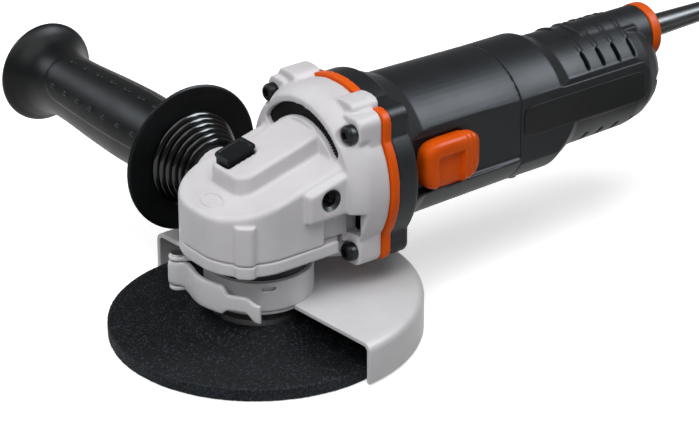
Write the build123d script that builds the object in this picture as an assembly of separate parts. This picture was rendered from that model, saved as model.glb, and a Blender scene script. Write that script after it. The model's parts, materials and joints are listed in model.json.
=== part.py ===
# A corded angle grinder with side handle, wheel guard, slide switch and spindle lock.
# Millimetres. The origin is on the spindle axis at the underside of the disc. X runs along the motor
# to the cord, Y to the side handle, Z up.
from build123d import *
import math
import os

# Driving dimensions: motor line and gear head
MOTOR_Z = 63.3
HEAD_FRONT, HEAD_HALF, HEAD_CORNER = -31.0, 27.5, 23.5
HEAD_BASE, COVER_BASE, COVER_SEAT = 44.3, 38.6, 41.4
SHOULDER_Z, SHOULDER_SLOPE = 71.0, 0.26
SPINE_FRONT, SPINE_HALF, SPINE_Z, SPINE_SLOPE = -16.0, 12.0, 79.5, 0.268
FRONT_COLUMNS, REAR_COLUMNS, COLUMN_RISE = (135, 225), (43, 317), 16.8
COLUMN_ANGLES = FRONT_COLUMNS + REAR_COLUMNS
RIB_FACE, RIB_DEPTH, RIB_WIDTH = 33.6, 9.0, 8.6
COLUMN_R, COLUMN_AT = 4.2, 28.4
SCREW_AT = 27.4
CHAMBER_R, CHAMBER_TOP = 24.0, 60.5

# Flange, trim ring and motor housing along X
FLANGE_FRONT, FLANGE_SEAT, FLANGE_END = 22.0, 32.0, 39.5
RING_END = 43.2
FLANGE_R, RING_R, HOUSING_FLANGE_R = 36.8, 38.2, 37.6
LOBE_Y, LOBE_Z, LOBE_CORNER = 31.0, 33.0, 5.0
CASE_SCREW_Y, CASE_SCREW_Z = 26.5, 26.0
LOW_LOBE = 29.5
BUMP_Y, BUMP_TOP, BUMP_WIDTH, BUMP_DEPTH = (-17.5, 20.5), 36.8, 13.0, 18.0
BARREL_FRONT, BARREL_FRONT_R, SEAM_X, BARREL_R, BARREL_RISE = 64.0, 30.8, 117.0, 29.85, 1.35
HOUSING_FLANGE_END = 53.5
PANEL_START, PANEL_Y, INNER_PANEL_Y, PANEL_Z = 54.0, 26.0, 24.0, (53.3, 80.0)
FAN_BORE_R, BARREL_BORE_R = 30.8, 26.2

# Rear cover and cord outlet
GRIP_START, GRIP_R, GRIP_END, GRIP_RISE = 150.0, 25.4, 206.0, 2.8
PAD_X, PAD_Z, PAD_CORNER = (122.0, 190.5), (61.0, 79.6), 6.5
NOSE_Z, NOSE_R, NOSE_END = 80.3, 12.2, 204.5
CLAMP_X, CORD_D = (187.0, 195.0), 7.0
CORD_GUARD_END = 252.0

# Spindle, disc and gears
DISC_R, DISC_T, DISC_BORE_R = 62.5, 6.0, 11.1
SPINDLE_TOP = 68.5
GEAR_TEETH, PINION_TEETH, GEAR_PITCH_R, GEAR_FACE = 36, 12, 20.0, 6.0
BACKLASH, PRESSURE_ANGLE = 0.3, 20.0
LOCK_R, LOCK_ANGLE, LOCK_PIN_R = 10.5, 140.0, 2.25
BUTTON_X, BUTTON_Y, BUTTON_PROUD = (-13.6, 0.2), (0.2, 11.0), 2.9

# Guard and clamp
GUARD_R, GUARD_T, GUARD_TOP, GUARD_SKIRT, GUARD_TURN = 67.7, 2.0, 19.0, 1.0, 4.4
COLLAR_R, BAND_R, BAND_TOP = 21.0, 22.6, 33.8
PIN_AT, PIN_ANGLE, PIN_R = 33.0, 144.0, 1.6
LEVER_R, LEVER_T, LEVER_END, LEVER_TAIL_END = 27.0, 3.0, 207.0, 237.0

# Side handle
HANDLE_X, HANDLE_Z = 3.0, 57.2
BOSS_Y, HANDLE_FLANGE_Y, HANDLE_FLANGE_R, HANDLE_END = 34.0, 50.5, 32.2, 169.5
STUD_R, STUD_START = 4.0, 25.2
NECK_SMALL_R, NECK_LARGE_R, NECK_RIBS = 13.5, 21.3, 6
GRIP_WAIST_R, GRIP_BELLY_R, POMMEL_R = 13.5, 16.1, 22.4

# Spare socket for the handle on the right
SOCKET_X, SOCKET_Z, SOCKET_Y, SOCKET_DEPTH = 14.0, 65.4, -31.0, 15.0

# Motor
STATOR_X, STATOR_R, STATOR_FLAT, STATOR_BORE = (60.0, 96.0), 25.9, 22.0, 16.0
SLOT_R, SLOT_HALF_ANGLE, COIL_CLEAR = 19.5, 37.0, 0.4
CORE_R, COMMUTATOR_X, COMMUTATOR_R = 15.4, (103.0, 114.0), 11.5
FAN_X, FAN_R, FAN_BLADES = (35.0, 43.0), 28.5, 12

# Switch
SLIDER_X, SLIDER_Z, SLIDER_FACE = (62.0, 92.0), (53.9, 75.2), -32.0
ROD_Y, ROD_Z = (-23.7, -22.4), (60.2, 66.4)

# Cord coil: centre, turns and the pitch between neighbouring turns and layers
COIL_X, COIL_Y = 287.0, -66.0
COIL_OUTER_R, COIL_PITCH, COIL_TURNS = 55.5, 7.7, 7.25
TIE_T, TIE_WIDTH, TIE_ANGLE = 1.4, 12.0, 150.0
TAIL_LENGTH = 25.0
CORD_ROUTE = [
    (252.0, 0.0, 80.3),
    (278.0, 0.0, 80.3),
    (306.0, -1.0, 72.0),
    (327.0, -3.0, 54.5),
    (338.5, -8.0, 32.0),
    (342.0, -22.0, 14.5),
    (343.05, -41.0, 5.1),
]

PIECES = {}


def box(x, y, z):
    """Block between the given low and high values on each axis."""
    size = (x[1] - x[0], y[1] - y[0], z[1] - z[0])
    centre = ((x[0] + x[1]) / 2, (y[0] + y[1]) / 2, (z[0] + z[1]) / 2)
    return Pos(*centre) * Box(*size)


def rod_x(radius, x0, x1, y=0.0, z=MOTOR_Z):
    """Round bar along X."""
    return Pos((x0 + x1) / 2, y, z) * Rot(0, 90, 0) * Cylinder(radius, x1 - x0)


def rod_y(radius, y0, y1, x, z):
    """Round bar along Y."""
    return Pos(x, (y0 + y1) / 2, z) * Rot(90, 0, 0) * Cylinder(radius, y1 - y0)


def rod_z(radius, z0, z1, x=0.0, y=0.0):
    """Round bar along Z."""
    return Pos(x, y, (z0 + z1) / 2) * Cylinder(radius, z1 - z0)


def turned_x(points, z=MOTOR_Z):
    """Solid turned about an axis along X, from (x, radius) points."""
    face = make_face(Polyline(*[(px, 0, z + r) for px, r in points], close=True))
    return revolve(face, Axis((0, 0, z), (1, 0, 0)))


def turned_y(points, x, z):
    """Solid turned about an axis along Y, from (y, radius) points."""
    face = make_face(Polyline(*[(x, py, z + r) for py, r in points], close=True))
    return revolve(face, Axis((x, 0, z), (0, 1, 0)))


def turned_z(points, arc=360.0):
    """Solid turned about the spindle axis, from (radius, z) points."""
    face = make_face(Polyline(*[(r, 0, pz) for r, pz in points], close=True))
    return revolve(face, Axis.Z, arc)


def prism_x(sketch, x0, x1):
    """Outline in Y and Z about the motor axis, carried along X."""
    return extrude(Plane.YZ.offset(x0) * Pos(0, MOTOR_Z) * sketch, x1 - x0)


def polar(radius, degrees):
    """Point at a radius and an angle from +X in the disc's plane."""
    return radius * math.cos(math.radians(degrees)), radius * math.sin(math.radians(degrees))


def sector(inner, outer, start, end):
    """Flat ring sector between two angles about the sketch origin."""
    a, b = polar(inner, start), polar(outer, start)
    c, d = polar(outer, end), polar(inner, end)
    middle = (start + end) / 2
    edges = [Line(a, b), ThreePointArc(b, polar(outer, middle), c)]
    edges += [Line(c, d), ThreePointArc(d, polar(inner, middle), a)]
    return make_face(edges)


def below(shape, height, slope):
    """The part of a shape under a plane that rises along X."""
    return split(shape, Plane((0, 0, height), z_dir=(-slope, 0, 1)), Keep.BOTTOM)


def lobed(radius, grow=0.0):
    """Round outline with four square corners for the case screws, the upper left one lower than the rest."""
    wide = LOBE_Y + grow
    square = Pos(0, (LOW_LOBE - LOBE_Z) / 2) * RectangleRounded(2 * wide, LOBE_Z + LOW_LOBE, LOBE_CORNER)
    corner = Pos(-wide / 2, LOBE_Z / 2) * RectangleRounded(wide, LOBE_Z, LOBE_CORNER)
    return Circle(radius) + square + corner


def case_bumps():
    """Cast bosses on the crown of the flange that reach back over the trim ring."""
    bumps = []
    for y in BUMP_Y:
        outline = Pos(y, BUMP_TOP - BUMP_DEPTH / 2) * RectangleRounded(BUMP_WIDTH, BUMP_DEPTH, 4.0)
        bumps.append(prism_x(outline, 30.0, RING_END) - rod_x(FAN_BORE_R + 0.6, 33.0, 50.0))
    return bumps


def case_screw_places():
    """Y and Z of the four long case screws."""
    return [(sy * CASE_SCREW_Y, MOTOR_Z + sz * CASE_SCREW_Z) for sy in (-1, 1) for sz in (-1, 1)]


def head_outline():
    """Plan outline of the gear head: rounded front, straight sides."""
    front = Pos(HEAD_FRONT + HEAD_HALF, 0) * RectangleRounded(2 * HEAD_HALF, 2 * HEAD_HALF, HEAD_CORNER)
    rear_length = FLANGE_FRONT + 4 - (HEAD_FRONT + HEAD_HALF)
    rear = Pos(HEAD_FRONT + HEAD_HALF + rear_length / 2, 0) * Rectangle(rear_length, 2 * HEAD_HALF)
    rib = Pos(RIB_FACE - RIB_DEPTH / 2, 0) * RectangleRounded(RIB_DEPTH, RIB_WIDTH, 2.4)
    columns = [Rot(0, 0, FRONT_COLUMNS[1]) * rib]
    columns += [Pos(*polar(COLUMN_AT, a)) * Circle(COLUMN_R) for a in REAR_COLUMNS]
    return front + rear, columns


def make_gear_case():
    """Cast head: sloping shoulder, raised spine, flange to the motor, seats and the gear chamber."""
    plan, columns = head_outline()
    head = below(extrude(Pos(0, 0, HEAD_BASE) * plan, 60), SHOULDER_Z, SHOULDER_SLOPE)
    head = fillet(head.faces().sort_by(Axis.Z)[-1].edges().filter_by_position(Axis.X, -60, 0), 2.4)
    for column in columns:
        head += extrude(Pos(0, 0, HEAD_BASE) * column, COLUMN_RISE)
    spine_length = FLANGE_FRONT + 4 - SPINE_FRONT
    spine_plan = Rectangle(spine_length, 2 * SPINE_HALF)
    for corner_side, corner_r in ((0, 6.5), (-1, 5.5)):
        front_corners = spine_plan.vertices().group_by(Axis.X)[0].sort_by(Axis.Y)
        spine_plan = fillet(front_corners[corner_side], corner_r)
    spine = extrude(Pos(SPINE_FRONT + spine_length / 2, 0, CHAMBER_TOP) * spine_plan, 40)
    spine = below(spine, SPINE_Z, SPINE_SLOPE)
    spine = fillet(spine.faces().sort_by(Axis.Z)[-1].edges().filter_by_position(Axis.X, -60, 10), 1.8)
    dome_edges = [
        Polyline((FLANGE_FRONT, 0, MOTOR_Z), (FLANGE_FRONT, 0, MOTOR_Z + 33.0)),
        ThreePointArc(
            (FLANGE_FRONT, 0, MOTOR_Z + 33.0), (25.4, 0, MOTOR_Z + 35.6), (FLANGE_SEAT, 0, MOTOR_Z + FLANGE_R)
        ),
        Polyline(
            (FLANGE_SEAT, 0, MOTOR_Z + FLANGE_R),
            (FLANGE_END, 0, MOTOR_Z + FLANGE_R),
            (FLANGE_END, 0, MOTOR_Z),
            (FLANGE_FRONT, 0, MOTOR_Z),
        ),
    ]
    dome = revolve(make_face(dome_edges), Axis((0, 0, MOTOR_Z), (1, 0, 0)))
    plate = prism_x(lobed(FLANGE_R), FLANGE_SEAT, FLANGE_END)
    plate = chamfer(plate.faces().sort_by(Axis.X)[0].edges(), 1.6)
    case = head + spine + dome + plate
    for sy, sz in case_screw_places():
        block_y, block_z = math.copysign(LOBE_Y - 6.5, sy), math.copysign(LOBE_Z - 6.8, sz - MOTOR_Z)
        block = prism_x(Pos(block_y, block_z) * RectangleRounded(13.0, 13.0, 4.4), 28.0, FLANGE_SEAT + 2)
        case += block
        case -= rod_x(4.6, 15.0, 28.0, sy, sz)
    for bump in case_bumps():
        case += bump
    case -= box((10.0, 25.4), (-24.0, 24.0), (36.0, HEAD_BASE)) + rod_z(25.5, 20.0, 40.2)
    boss = below(box((3.5, 25.0), (SOCKET_Y, -24.0), (57.0, 84.0)), 68.6, SHOULDER_SLOPE)
    case += fillet(boss.edges().filter_by_position(Axis.Y, SOCKET_Y - 0.1, SOCKET_Y + 0.1), 1.5)
    case += rod_y(11.0, 24.5, BOSS_Y, HANDLE_X, HANDLE_Z)
    case -= rod_y(3.4, SOCKET_Y - 1, SOCKET_Y + SOCKET_DEPTH, SOCKET_X, SOCKET_Z)
    case -= turned_y(
        [(SOCKET_Y - 0.5, 0), (SOCKET_Y - 0.5, 5.4), (SOCKET_Y + 1.5, 3.4), (SOCKET_Y + 1.5, 0)],
        SOCKET_X,
        SOCKET_Z,
    )
    case -= rod_y(STUD_R, STUD_START, BOSS_Y + 1, HANDLE_X, HANDLE_Z)
    case -= rod_z(CHAMBER_R, HEAD_BASE - 1, CHAMBER_TOP)
    case -= rod_z(6.0, CHAMBER_TOP - 1, SPINDLE_TOP + 1)
    case -= rod_x(11.0, 8.0, FLANGE_FRONT)
    case -= rod_x(9.0, FLANGE_FRONT - 1, 26.0)
    case -= rod_x(13.0, 25.0, 34.0)
    case -= rod_x(FAN_BORE_R, 33.5, FLANGE_END + 1)
    vent = fillet(sector(24.5, 30.4, 33, 147).vertices(), 2.4)
    case -= prism_x(vent, FLANGE_FRONT - 1, 34.0)
    for side in (-1, 1):
        case -= box((13.0, 28.0), sorted((side * 23.6, side * 45.0)), (41.5, 57.0))
        case -= box((27.5, 34.0), sorted((side * 21.8, side * 31.0)), (44.2, 56.4))
    lx, ly = polar(LOCK_R, LOCK_ANGLE)
    case -= box(
        (BUTTON_X[0] - 0.2, BUTTON_X[1] + 0.2), (BUTTON_Y[0] - 0.2, BUTTON_Y[1] + 0.2), (68.5, 90.0)
    )
    case -= rod_z(4.4, 62.8, 70.0, lx, ly)
    case -= rod_z(LOCK_PIN_R + 0.05, CHAMBER_TOP - 1, 70.0, lx, ly)
    for angle in COLUMN_ANGLES:
        case -= rod_z(2.0, HEAD_BASE - 1, 56.0, *polar(SCREW_AT, angle))
    for sy, sz in case_screw_places():
        case -= rod_x(2.0, 20.0, RING_END + 1, sy, sz)
    PIECES["gear_case"] = case


def make_bearing_cover():
    """Plate under the gear chamber with the collar that the guard clamps round."""
    plan, columns = head_outline()
    keep = Pos(-5.5, 0) * Rectangle(52, 2 * HEAD_HALF)
    plate = extrude(Pos(0, 0, COVER_BASE) * (plan & keep), HEAD_BASE - COVER_BASE)
    for column in columns:
        plate += extrude(Pos(0, 0, COVER_BASE) * column, HEAD_BASE - COVER_BASE)
    cover = plate + rod_z(COLLAR_R, 20.0, 41.0)
    cover -= rod_z(14.0, 33.5, 50.0)
    cover -= rod_z(9.6, 15.0, 30.5)
    cover -= rod_z(13.0, 30.4, 33.6)
    for angle in COLUMN_ANGLES:
        cover -= rod_z(2.0, 30.0, 50.0, *polar(SCREW_AT, angle))
        cover -= rod_z(3.7, 30.0, COVER_SEAT, *polar(SCREW_AT, angle))
    PIECES["bearing_cover"] = cover
    screws = []
    for angle in COLUMN_ANGLES:
        place = polar(SCREW_AT, angle)
        screw = rod_z(3.4, COVER_BASE + 0.2, COVER_SEAT, *place) + rod_z(2.0, 41.0, 55.5, *place)
        screws.append(screw - rod_z(1.5, 36.0, COVER_BASE + 1.8, *place))
    PIECES["cover_screws"] = Compound(screws)
    PIECES["spindle_bearing"] = rod_z(14.0, 33.5, 41.5) - rod_z(6.03, 30, 45)
    PIECES["dust_seal"] = rod_z(13.0, 30.5, 33.5) - rod_z(9.2, 30, 45)
    PIECES["needle_bush"] = rod_z(6.0, 61.0, 68.4) - rod_z(4.03, 60, 70)


def make_case_hardware():
    """Trim ring and the four dome-headed screws that hold head and motor housing together."""
    ring = prism_x(lobed(RING_R, 1.0), FLANGE_END, RING_END) - rod_x(FAN_BORE_R + 0.6, 35.0, 50.0)
    screws = []
    for sy, sz in case_screw_places():
        ring -= rod_x(2.2, 35.0, 50.0, sy, sz)
        head = fillet(rod_x(3.9, 23.6, 28.0, sy, sz).edges().sort_by(Axis.X)[0], 1.8)
        screw = head + rod_x(2.0, 27.8, 50.5, sy, sz)
        screws.append(screw - rod_x(1.6, 23.0, 25.6, sy, sz))
    for bump in case_bumps():
        ring -= bump
    PIECES["trim_ring"] = ring
    PIECES["case_screws"] = Compound(screws)


def barrel_section(radius, flat):
    """Circle with flats on both sides."""
    return Circle(radius) & Rectangle(2 * flat, 4 * radius)


def make_motor_housing():
    """Motor tube: lobed flange, taper, flat side panels, switch slot, rear spigot with bearing seat."""
    housing = prism_x(lobed(HOUSING_FLANGE_R), RING_END, HOUSING_FLANGE_END)
    housing = fillet(housing.faces().sort_by(Axis.X)[-1].edges(), 1.5)
    taper = [(49.0, 0), (49.0, 35.6), (HOUSING_FLANGE_END, 35.0), (BARREL_FRONT, BARREL_FRONT_R)]
    taper += [(SEAM_X, BARREL_R), (SEAM_X, 0)]
    housing += turned_x(taper, MOTOR_Z + BARREL_RISE)
    for side in (-1, 1):
        panel_y = (PANEL_Y, 60.0) if side > 0 else (-60.0, -PANEL_Y)
        housing -= box((PANEL_START, 130.0), panel_y, PANEL_Z)
    housing -= rod_x(FAN_BORE_R, RING_END - 1, 48.0)
    housing -= prism_x(barrel_section(BARREL_BORE_R, INNER_PANEL_Y), 47.0, 113.0)
    housing += prism_x(barrel_section(25.8, 23.8), 113.0, 132.0)
    housing -= prism_x(barrel_section(22.8, 21.3), 110.0, 140.0)
    housing += prism_x(barrel_section(23.2, 21.6), 119.0, 123.0)
    housing += rod_x(13.5, 119.0, 129.5)
    housing -= rod_x(10.7, 122.0, 135.0)
    housing -= rod_x(5.0, 110.0, 125.0)
    for angle in (45, 135, 225, 315):
        dy, dz = polar(17.6, angle)
        housing -= rod_x(3.4, 115.0, 125.0, dy, MOTOR_Z + dz)
    housing -= box((62.0, 85.0), (-30.0, -20.0), (59.5, 67.1))
    housing -= box((112.0, 140.0), (-24.6, -20.8), (59.5, 67.1))
    for sy, sz in case_screw_places():
        housing -= rod_x(2.0, 40.0, 50.6, sy, sz)
    for y in (-10.0, 10.0):
        housing -= rod_z(1.75, 30.0, 46.0, 125.0, y)
    PIECES["motor_housing"] = housing


def make_rear_cover():
    """Grip shell at the back: step down to the grip, side panels, vent notches and the cord outlet."""
    front = [(SEAM_X, 0), (SEAM_X, BARREL_R), (139.0, BARREL_R), (152.0, 24.0), (152.0, 0)]
    grip = [(139.0, 0), (139.0, 25.0), (GRIP_START, GRIP_R), (186.0, 24.8), (194.0, 23.2), (200.0, 20.4)]
    grip += [(204.5, 16.5), (GRIP_END, 12.0), (GRIP_END, 0)]
    cover = turned_x(front, MOTOR_Z + BARREL_RISE) & box((100, 230), (-PANEL_Y, PANEL_Y), (20, 110))
    cover += turned_x(grip, MOTOR_Z + GRIP_RISE)
    pad_middle = (PAD_X[0] + PAD_X[1]) / 2, (PAD_Z[0] + PAD_Z[1]) / 2
    pad = Pos(*pad_middle) * RectangleRounded(PAD_X[1] - PAD_X[0], PAD_Z[1] - PAD_Z[0], PAD_CORNER)
    cover += extrude(Plane.XZ * pad, PANEL_Y, both=True)
    cover += turned_x([(166.0, 0), (166.0, 12.4), (NOSE_END, NOSE_R), (NOSE_END, 0)], NOSE_Z)
    cover -= rod_x(12.8, NOSE_END, 225.0, 0, NOSE_Z)
    cover += rod_x(8.0, NOSE_END - 1, 209.0, 0, NOSE_Z)
    spigot_room = [(SEAM_X - 5, 0), (SEAM_X - 5, 26.0), (136.0, 26.0), (136.0, 0)]
    grip_room = [(130.0, 0), (130.0, 22.6), (186.0, 22.2), (194.0, 19.8), (199.0, 15.0), (199.0, 0)]
    room = turned_x(spigot_room) + turned_x(grip_room, MOTOR_Z + GRIP_RISE)
    cover -= room & box((100, 230), (-INNER_PANEL_Y, INNER_PANEL_Y), (20, 110))
    cover += box(CLAMP_X, (-11.0, 11.0), (NOSE_Z + CORD_D / 2, 89.0))
    cover -= rod_x(5.2, 194.0, 215.0, 0, NOSE_Z)
    cover -= rod_x(7.0, 195.0, 198.2, 0, NOSE_Z)
    cover -= box((112.0, 162.0), (-INNER_PANEL_Y, -20.0), (59.5, 67.1))
    for step in range(3):
        z = 47.0 + 8.0 * step
        cover -= box((201.2, 230.0), (-24.0, 24.0), (z, z + 3.4))
        cover -= box((195.0, 230.0), (-13.0, 13.0), (z + 0.2, z + 3.2))
    for y in (-10.0, 10.0):
        cover -= rod_z(1.75, 30.0, 50.0, 125.0, y)
        cover -= rod_z(3.2, 30.0, 38.4, 125.0, y)
    for y in (-8.5, 8.5):
        cover -= rod_z(1.5, NOSE_Z, 87.8, sum(CLAMP_X) / 2, y)
    PIECES["rear_cover"] = cover
    screws = [rod_z(3.0, 36.9, 38.4, 125.0, y) + rod_z(1.75, 38.0, 45.0, 125.0, y) for y in (-10.0, 10.0)]
    PIECES["rear_cover_screws"] = Compound(screws)
    ring = rod_x(12.6, NOSE_END, NOSE_END + 5.0, 0, NOSE_Z) - rod_x(8.0, 200.0, 215.0, 0, NOSE_Z)
    PIECES["outlet_ring"] = fillet(ring.edges().sort_by(Axis.X)[-2:], 1.2)


def make_motor():
    """Field, armature, brushes and bearings."""
    x0, x1 = STATOR_X
    slots = sector(STATOR_BORE - 1, SLOT_R, -SLOT_HALF_ANGLE, SLOT_HALF_ANGLE)
    slots += sector(STATOR_BORE - 1, SLOT_R, 180 - SLOT_HALF_ANGLE, 180 + SLOT_HALF_ANGLE)
    stator = barrel_section(STATOR_R, STATOR_FLAT) - Circle(STATOR_BORE) - slots
    PIECES["stator_core"] = prism_x(stator, x0, x1)
    coils = []
    for turn in (0, 180):
        ring = sector(STATOR_BORE + COIL_CLEAR, SLOT_R - COIL_CLEAR, turn + 2, turn + 178)
        first, last = turn + SLOT_HALF_ANGLE - 1.5, turn + 181.5 - SLOT_HALF_ANGLE
        pole = sector(STATOR_BORE - 2, SLOT_R + 2, first, last)
        coils.append(prism_x(ring, x0 - 5.5, x1 + 5.5) - prism_x(pole, x0 - 0.3, x1 + 0.3))
    PIECES["field_windings"] = Compound(coils)
    shaft = [(9.4, 0), (9.4, 2.5), (24.0, 2.5), (24.0, 5.0)]
    shaft += [(121.0, 5.0), (121.0, 3.0), (129.0, 3.0), (129.0, 0)]
    shaft_solid = turned_x(shaft)
    bulge = [(45.0, 0), (45.0, 5.8), (101.5, 5.8), (101.5, 0)]
    PIECES["armature_shaft"] = shaft_solid + turned_x(bulge)
    core = prism_x(Circle(CORE_R) - Circle(5.8), x0, x1)
    for k in range(12):
        slot = Rot(0, 0, 30 * k) * Pos(12.4, 0) * Rectangle(7.0, 2.0)
        core -= prism_x(slot, x0 - 1, x1 + 1)
    PIECES["armature_core"] = core
    front = turned_x([(x0 - 7.5, 5.8), (x0 - 7.5, 8.5), (x0 - 3.0, 13.0), (x0, 13.4), (x0, 5.8)])
    rear = turned_x([(x1, 5.8), (x1, 13.4), (x1 + 3.0, 13.0), (x1 + 5.5, 9.0), (x1 + 5.5, 5.8)])
    PIECES["armature_windings"] = Compound([front, rear])
    commutator = rod_x(COMMUTATOR_R, *COMMUTATOR_X) - rod_x(5.0, 100, 120)
    for k in range(24):
        groove = Rot(0, 0, 15 * k) * Pos(COMMUTATOR_R, 0) * Rectangle(1.6, 0.5)
        commutator -= prism_x(groove, COMMUTATOR_X[0] - 1, COMMUTATOR_X[1] + 1)
    PIECES["commutator"] = commutator
    hub = [(34.0, 5.0), (34.0, 9.0), (41.0, 10.0)]
    fan = turned_x(hub + [(41.5, FAN_R), (FAN_X[1], FAN_R), (FAN_X[1], 5.0)])
    for k in range(FAN_BLADES):
        blade = Rot(0, 0, 360 / FAN_BLADES * k) * Pos(18.5, 0) * Rectangle(19.0, 1.6)
        fan += prism_x(blade, FAN_X[0] + 1, 42.0)
    PIECES["fan"] = fan
    baffle = rod_x(FAN_BORE_R - 0.3, 46.0, 47.9) - rod_x(19.0, 45, 50)
    PIECES["air_baffle"] = baffle
    PIECES["front_bearing"] = rod_x(13.0, 25.2, 33.2) - rod_x(5.03, 20, 40)
    PIECES["rear_bearing"] = rod_x(9.5, 122.0, 128.0) - rod_x(3.03, 110, 140)
    PIECES["bearing_sleeve"] = rod_x(10.7, 122.0, 128.5) - rod_x(9.5, 110, 140)
    holders, brushes, springs = [], [], []
    for side in (-1, 1):
        low, high = (13.0, 24.4)
        z = sorted((MOTOR_Z + side * low, MOTOR_Z + side * high))
        tunnel = sorted((MOTOR_Z + side * (low - 1), MOTOR_Z + side * (high - 1.2)))
        brush_z = sorted((MOTOR_Z + side * (COMMUTATOR_R + 0.05), MOTOR_Z + side * 19.0))
        holder = box((103.6, 112.4), (-4.4, 4.4), z) - box((105.0, 111.0), (-3.0, 3.0), tunnel)
        holders.append(holder)
        brushes.append(box((105.1, 110.9), (-2.9, 2.9), brush_z))
        coil_base = Pos(108.0, 0, MOTOR_Z + side * 19.2) * Rot(0 if side > 0 else 180, 0, 0)
        path = Helix(1.3, 3.4, 2.0)
        springs.append(coil_base * sweep(Plane(path @ 0, z_dir=path % 0) * Circle(0.25), path))
    PIECES["brush_holders"] = Compound(holders)
    PIECES["carbon_brushes"] = Compound(brushes)
    PIECES["brush_springs"] = Compound(springs)


def make_electrics():
    """Slide button, its rod, the switch, capacitor, leads and cord clamp inside the grip."""
    x0, x1 = SLIDER_X
    z0, z1 = SLIDER_Z
    plan = Pos((x0 + x1) / 2, (z0 + z1) / 2) * RectangleRounded(x1 - x0, z1 - z0, 6.0)
    slider = extrude(Plane.XZ.offset(PANEL_Y + 0.35) * plan, -SLIDER_FACE - PANEL_Y - 0.35)
    slider = fillet(slider.faces().sort_by(Axis.Y)[0].edges(), 2.4)
    slider -= rod_z(26.0, 40.0, 90.0, 74.5, SLIDER_FACE - 24.2)
    slider += box((70.0, 84.0), (-PANEL_Y - 0.6, ROD_Y[0] + 0.2), (60.6, 66.0))
    PIECES["switch_slider"] = slider
    rod = box((68.0, 160.0), ROD_Y, ROD_Z) - box((69.9, 84.1), (ROD_Y[0] - 0.1, ROD_Y[0] + 0.2), (60.5, 66.1))
    PIECES["switch_rod"] = rod + box((156.0, 159.0), (ROD_Y[1] - 0.2, -14.0), (61.0, 65.0))
    switch = box((154.5, 180.0), (-19.0, -6.0), (55.5, 73.5))
    PIECES["switch_body"] = switch - box((150.0, 160.0), (-24.0, -13.5), (60.3, 65.7))
    PIECES["capacitor"] = box((156.0, 174.0), (2.0, 12.0), (48.0, 62.0))
    leads = []
    for angle in (225, 315):
        dy, dz = polar(17.6, angle)
        leads.append(rod_x(1.2, 106.0, 150.0, dy, MOTOR_Z + dz))
    PIECES["motor_leads"] = Compound(leads)
    clamp_low, clamp_middle = NOSE_Z - 6.7, sum(CLAMP_X) / 2
    clamp = box(CLAMP_X, (-11.0, 11.0), (clamp_low, NOSE_Z - CORD_D / 2))
    screws = []
    for y in (-8.5, 8.5):
        clamp -= rod_z(1.5, 60.0, NOSE_Z, clamp_middle, y)
        head = rod_z(2.8, clamp_low - 2.2, clamp_low, clamp_middle, y)
        screws.append(head + rod_z(1.5, clamp_low - 1, 87.3, clamp_middle, y))
    PIECES["cord_clamp"] = clamp
    PIECES["cord_clamp_screws"] = Compound(screws)
    PIECES["cord_tail"] = rod_x(CORD_D / 2, 174.0, 195.4, 0, NOSE_Z)
    guard = [(195.4, 0), (195.4, 7.0), (198.2, 7.0), (198.2, 5.2), (212.0, 5.2), (CORD_GUARD_END, 4.1)]
    PIECES["cord_guard"] = turned_x(guard + [(CORD_GUARD_END, 0)], NOSE_Z)


def gear_tooth(pitch_angle, teeth, cone, add, ded):
    """One straight bevel tooth about the local Z axis, apex at the origin, centred on local +X."""
    module = 2 * GEAR_PITCH_R / GEAR_TEETH
    virtual_r = module * teeth / math.cos(pitch_angle) / 2
    base_r = virtual_r * math.cos(math.radians(PRESSURE_ANGLE))
    alpha = math.radians(PRESSURE_ANGLE)
    half_pitch = math.pi * module / 4 - BACKLASH / 2
    flank = []
    for step in range(5):
        r = virtual_r - ded + (add + ded) * step / 4
        at = math.acos(min(1.0, base_r / r))
        spread = half_pitch / virtual_r + (math.tan(alpha) - alpha) - (math.tan(at) - at)
        flank.append((r * math.cos(spread) - virtual_r, r * math.sin(spread)))
    outline = [(h, t) for h, t in flank] + [(h, -t) for h, t in reversed(flank)]
    along = Vector(math.sin(pitch_angle), 0, math.cos(pitch_angle))
    up = Vector(math.cos(pitch_angle), 0, -math.sin(pitch_angle))
    ends = []
    for reach in (cone, cone - GEAR_FACE):
        scale = reach / cone
        points = [along * reach + up * (h * scale) + Vector(0, t * scale, 0) for h, t in outline]
        ends.append(make_face(Polyline(*points, close=True)))
    return loft(ends, ruled=True)


def bevel_blank(pitch_angle, cone, ded, inner_r, back):
    """Turned blank under the teeth, about local Z, with the root cone as its front."""
    sine, cosine = math.sin(pitch_angle), math.cos(pitch_angle)
    root = ded - 0.25
    corners = []
    for reach in (cone - GEAR_FACE, cone):
        drop = root * reach / cone
        corners.append((reach * sine - drop * cosine, reach * cosine + drop * sine))
    (r0, z0), (r1, z1) = corners
    points = [(inner_r, z0), (r0, z0), (r1, z1), (r1, back), (inner_r, back)]
    face = make_face(Polyline(*[(r, 0, z) for r, z in points], close=True))
    return revolve(face, Axis.Z)


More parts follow.
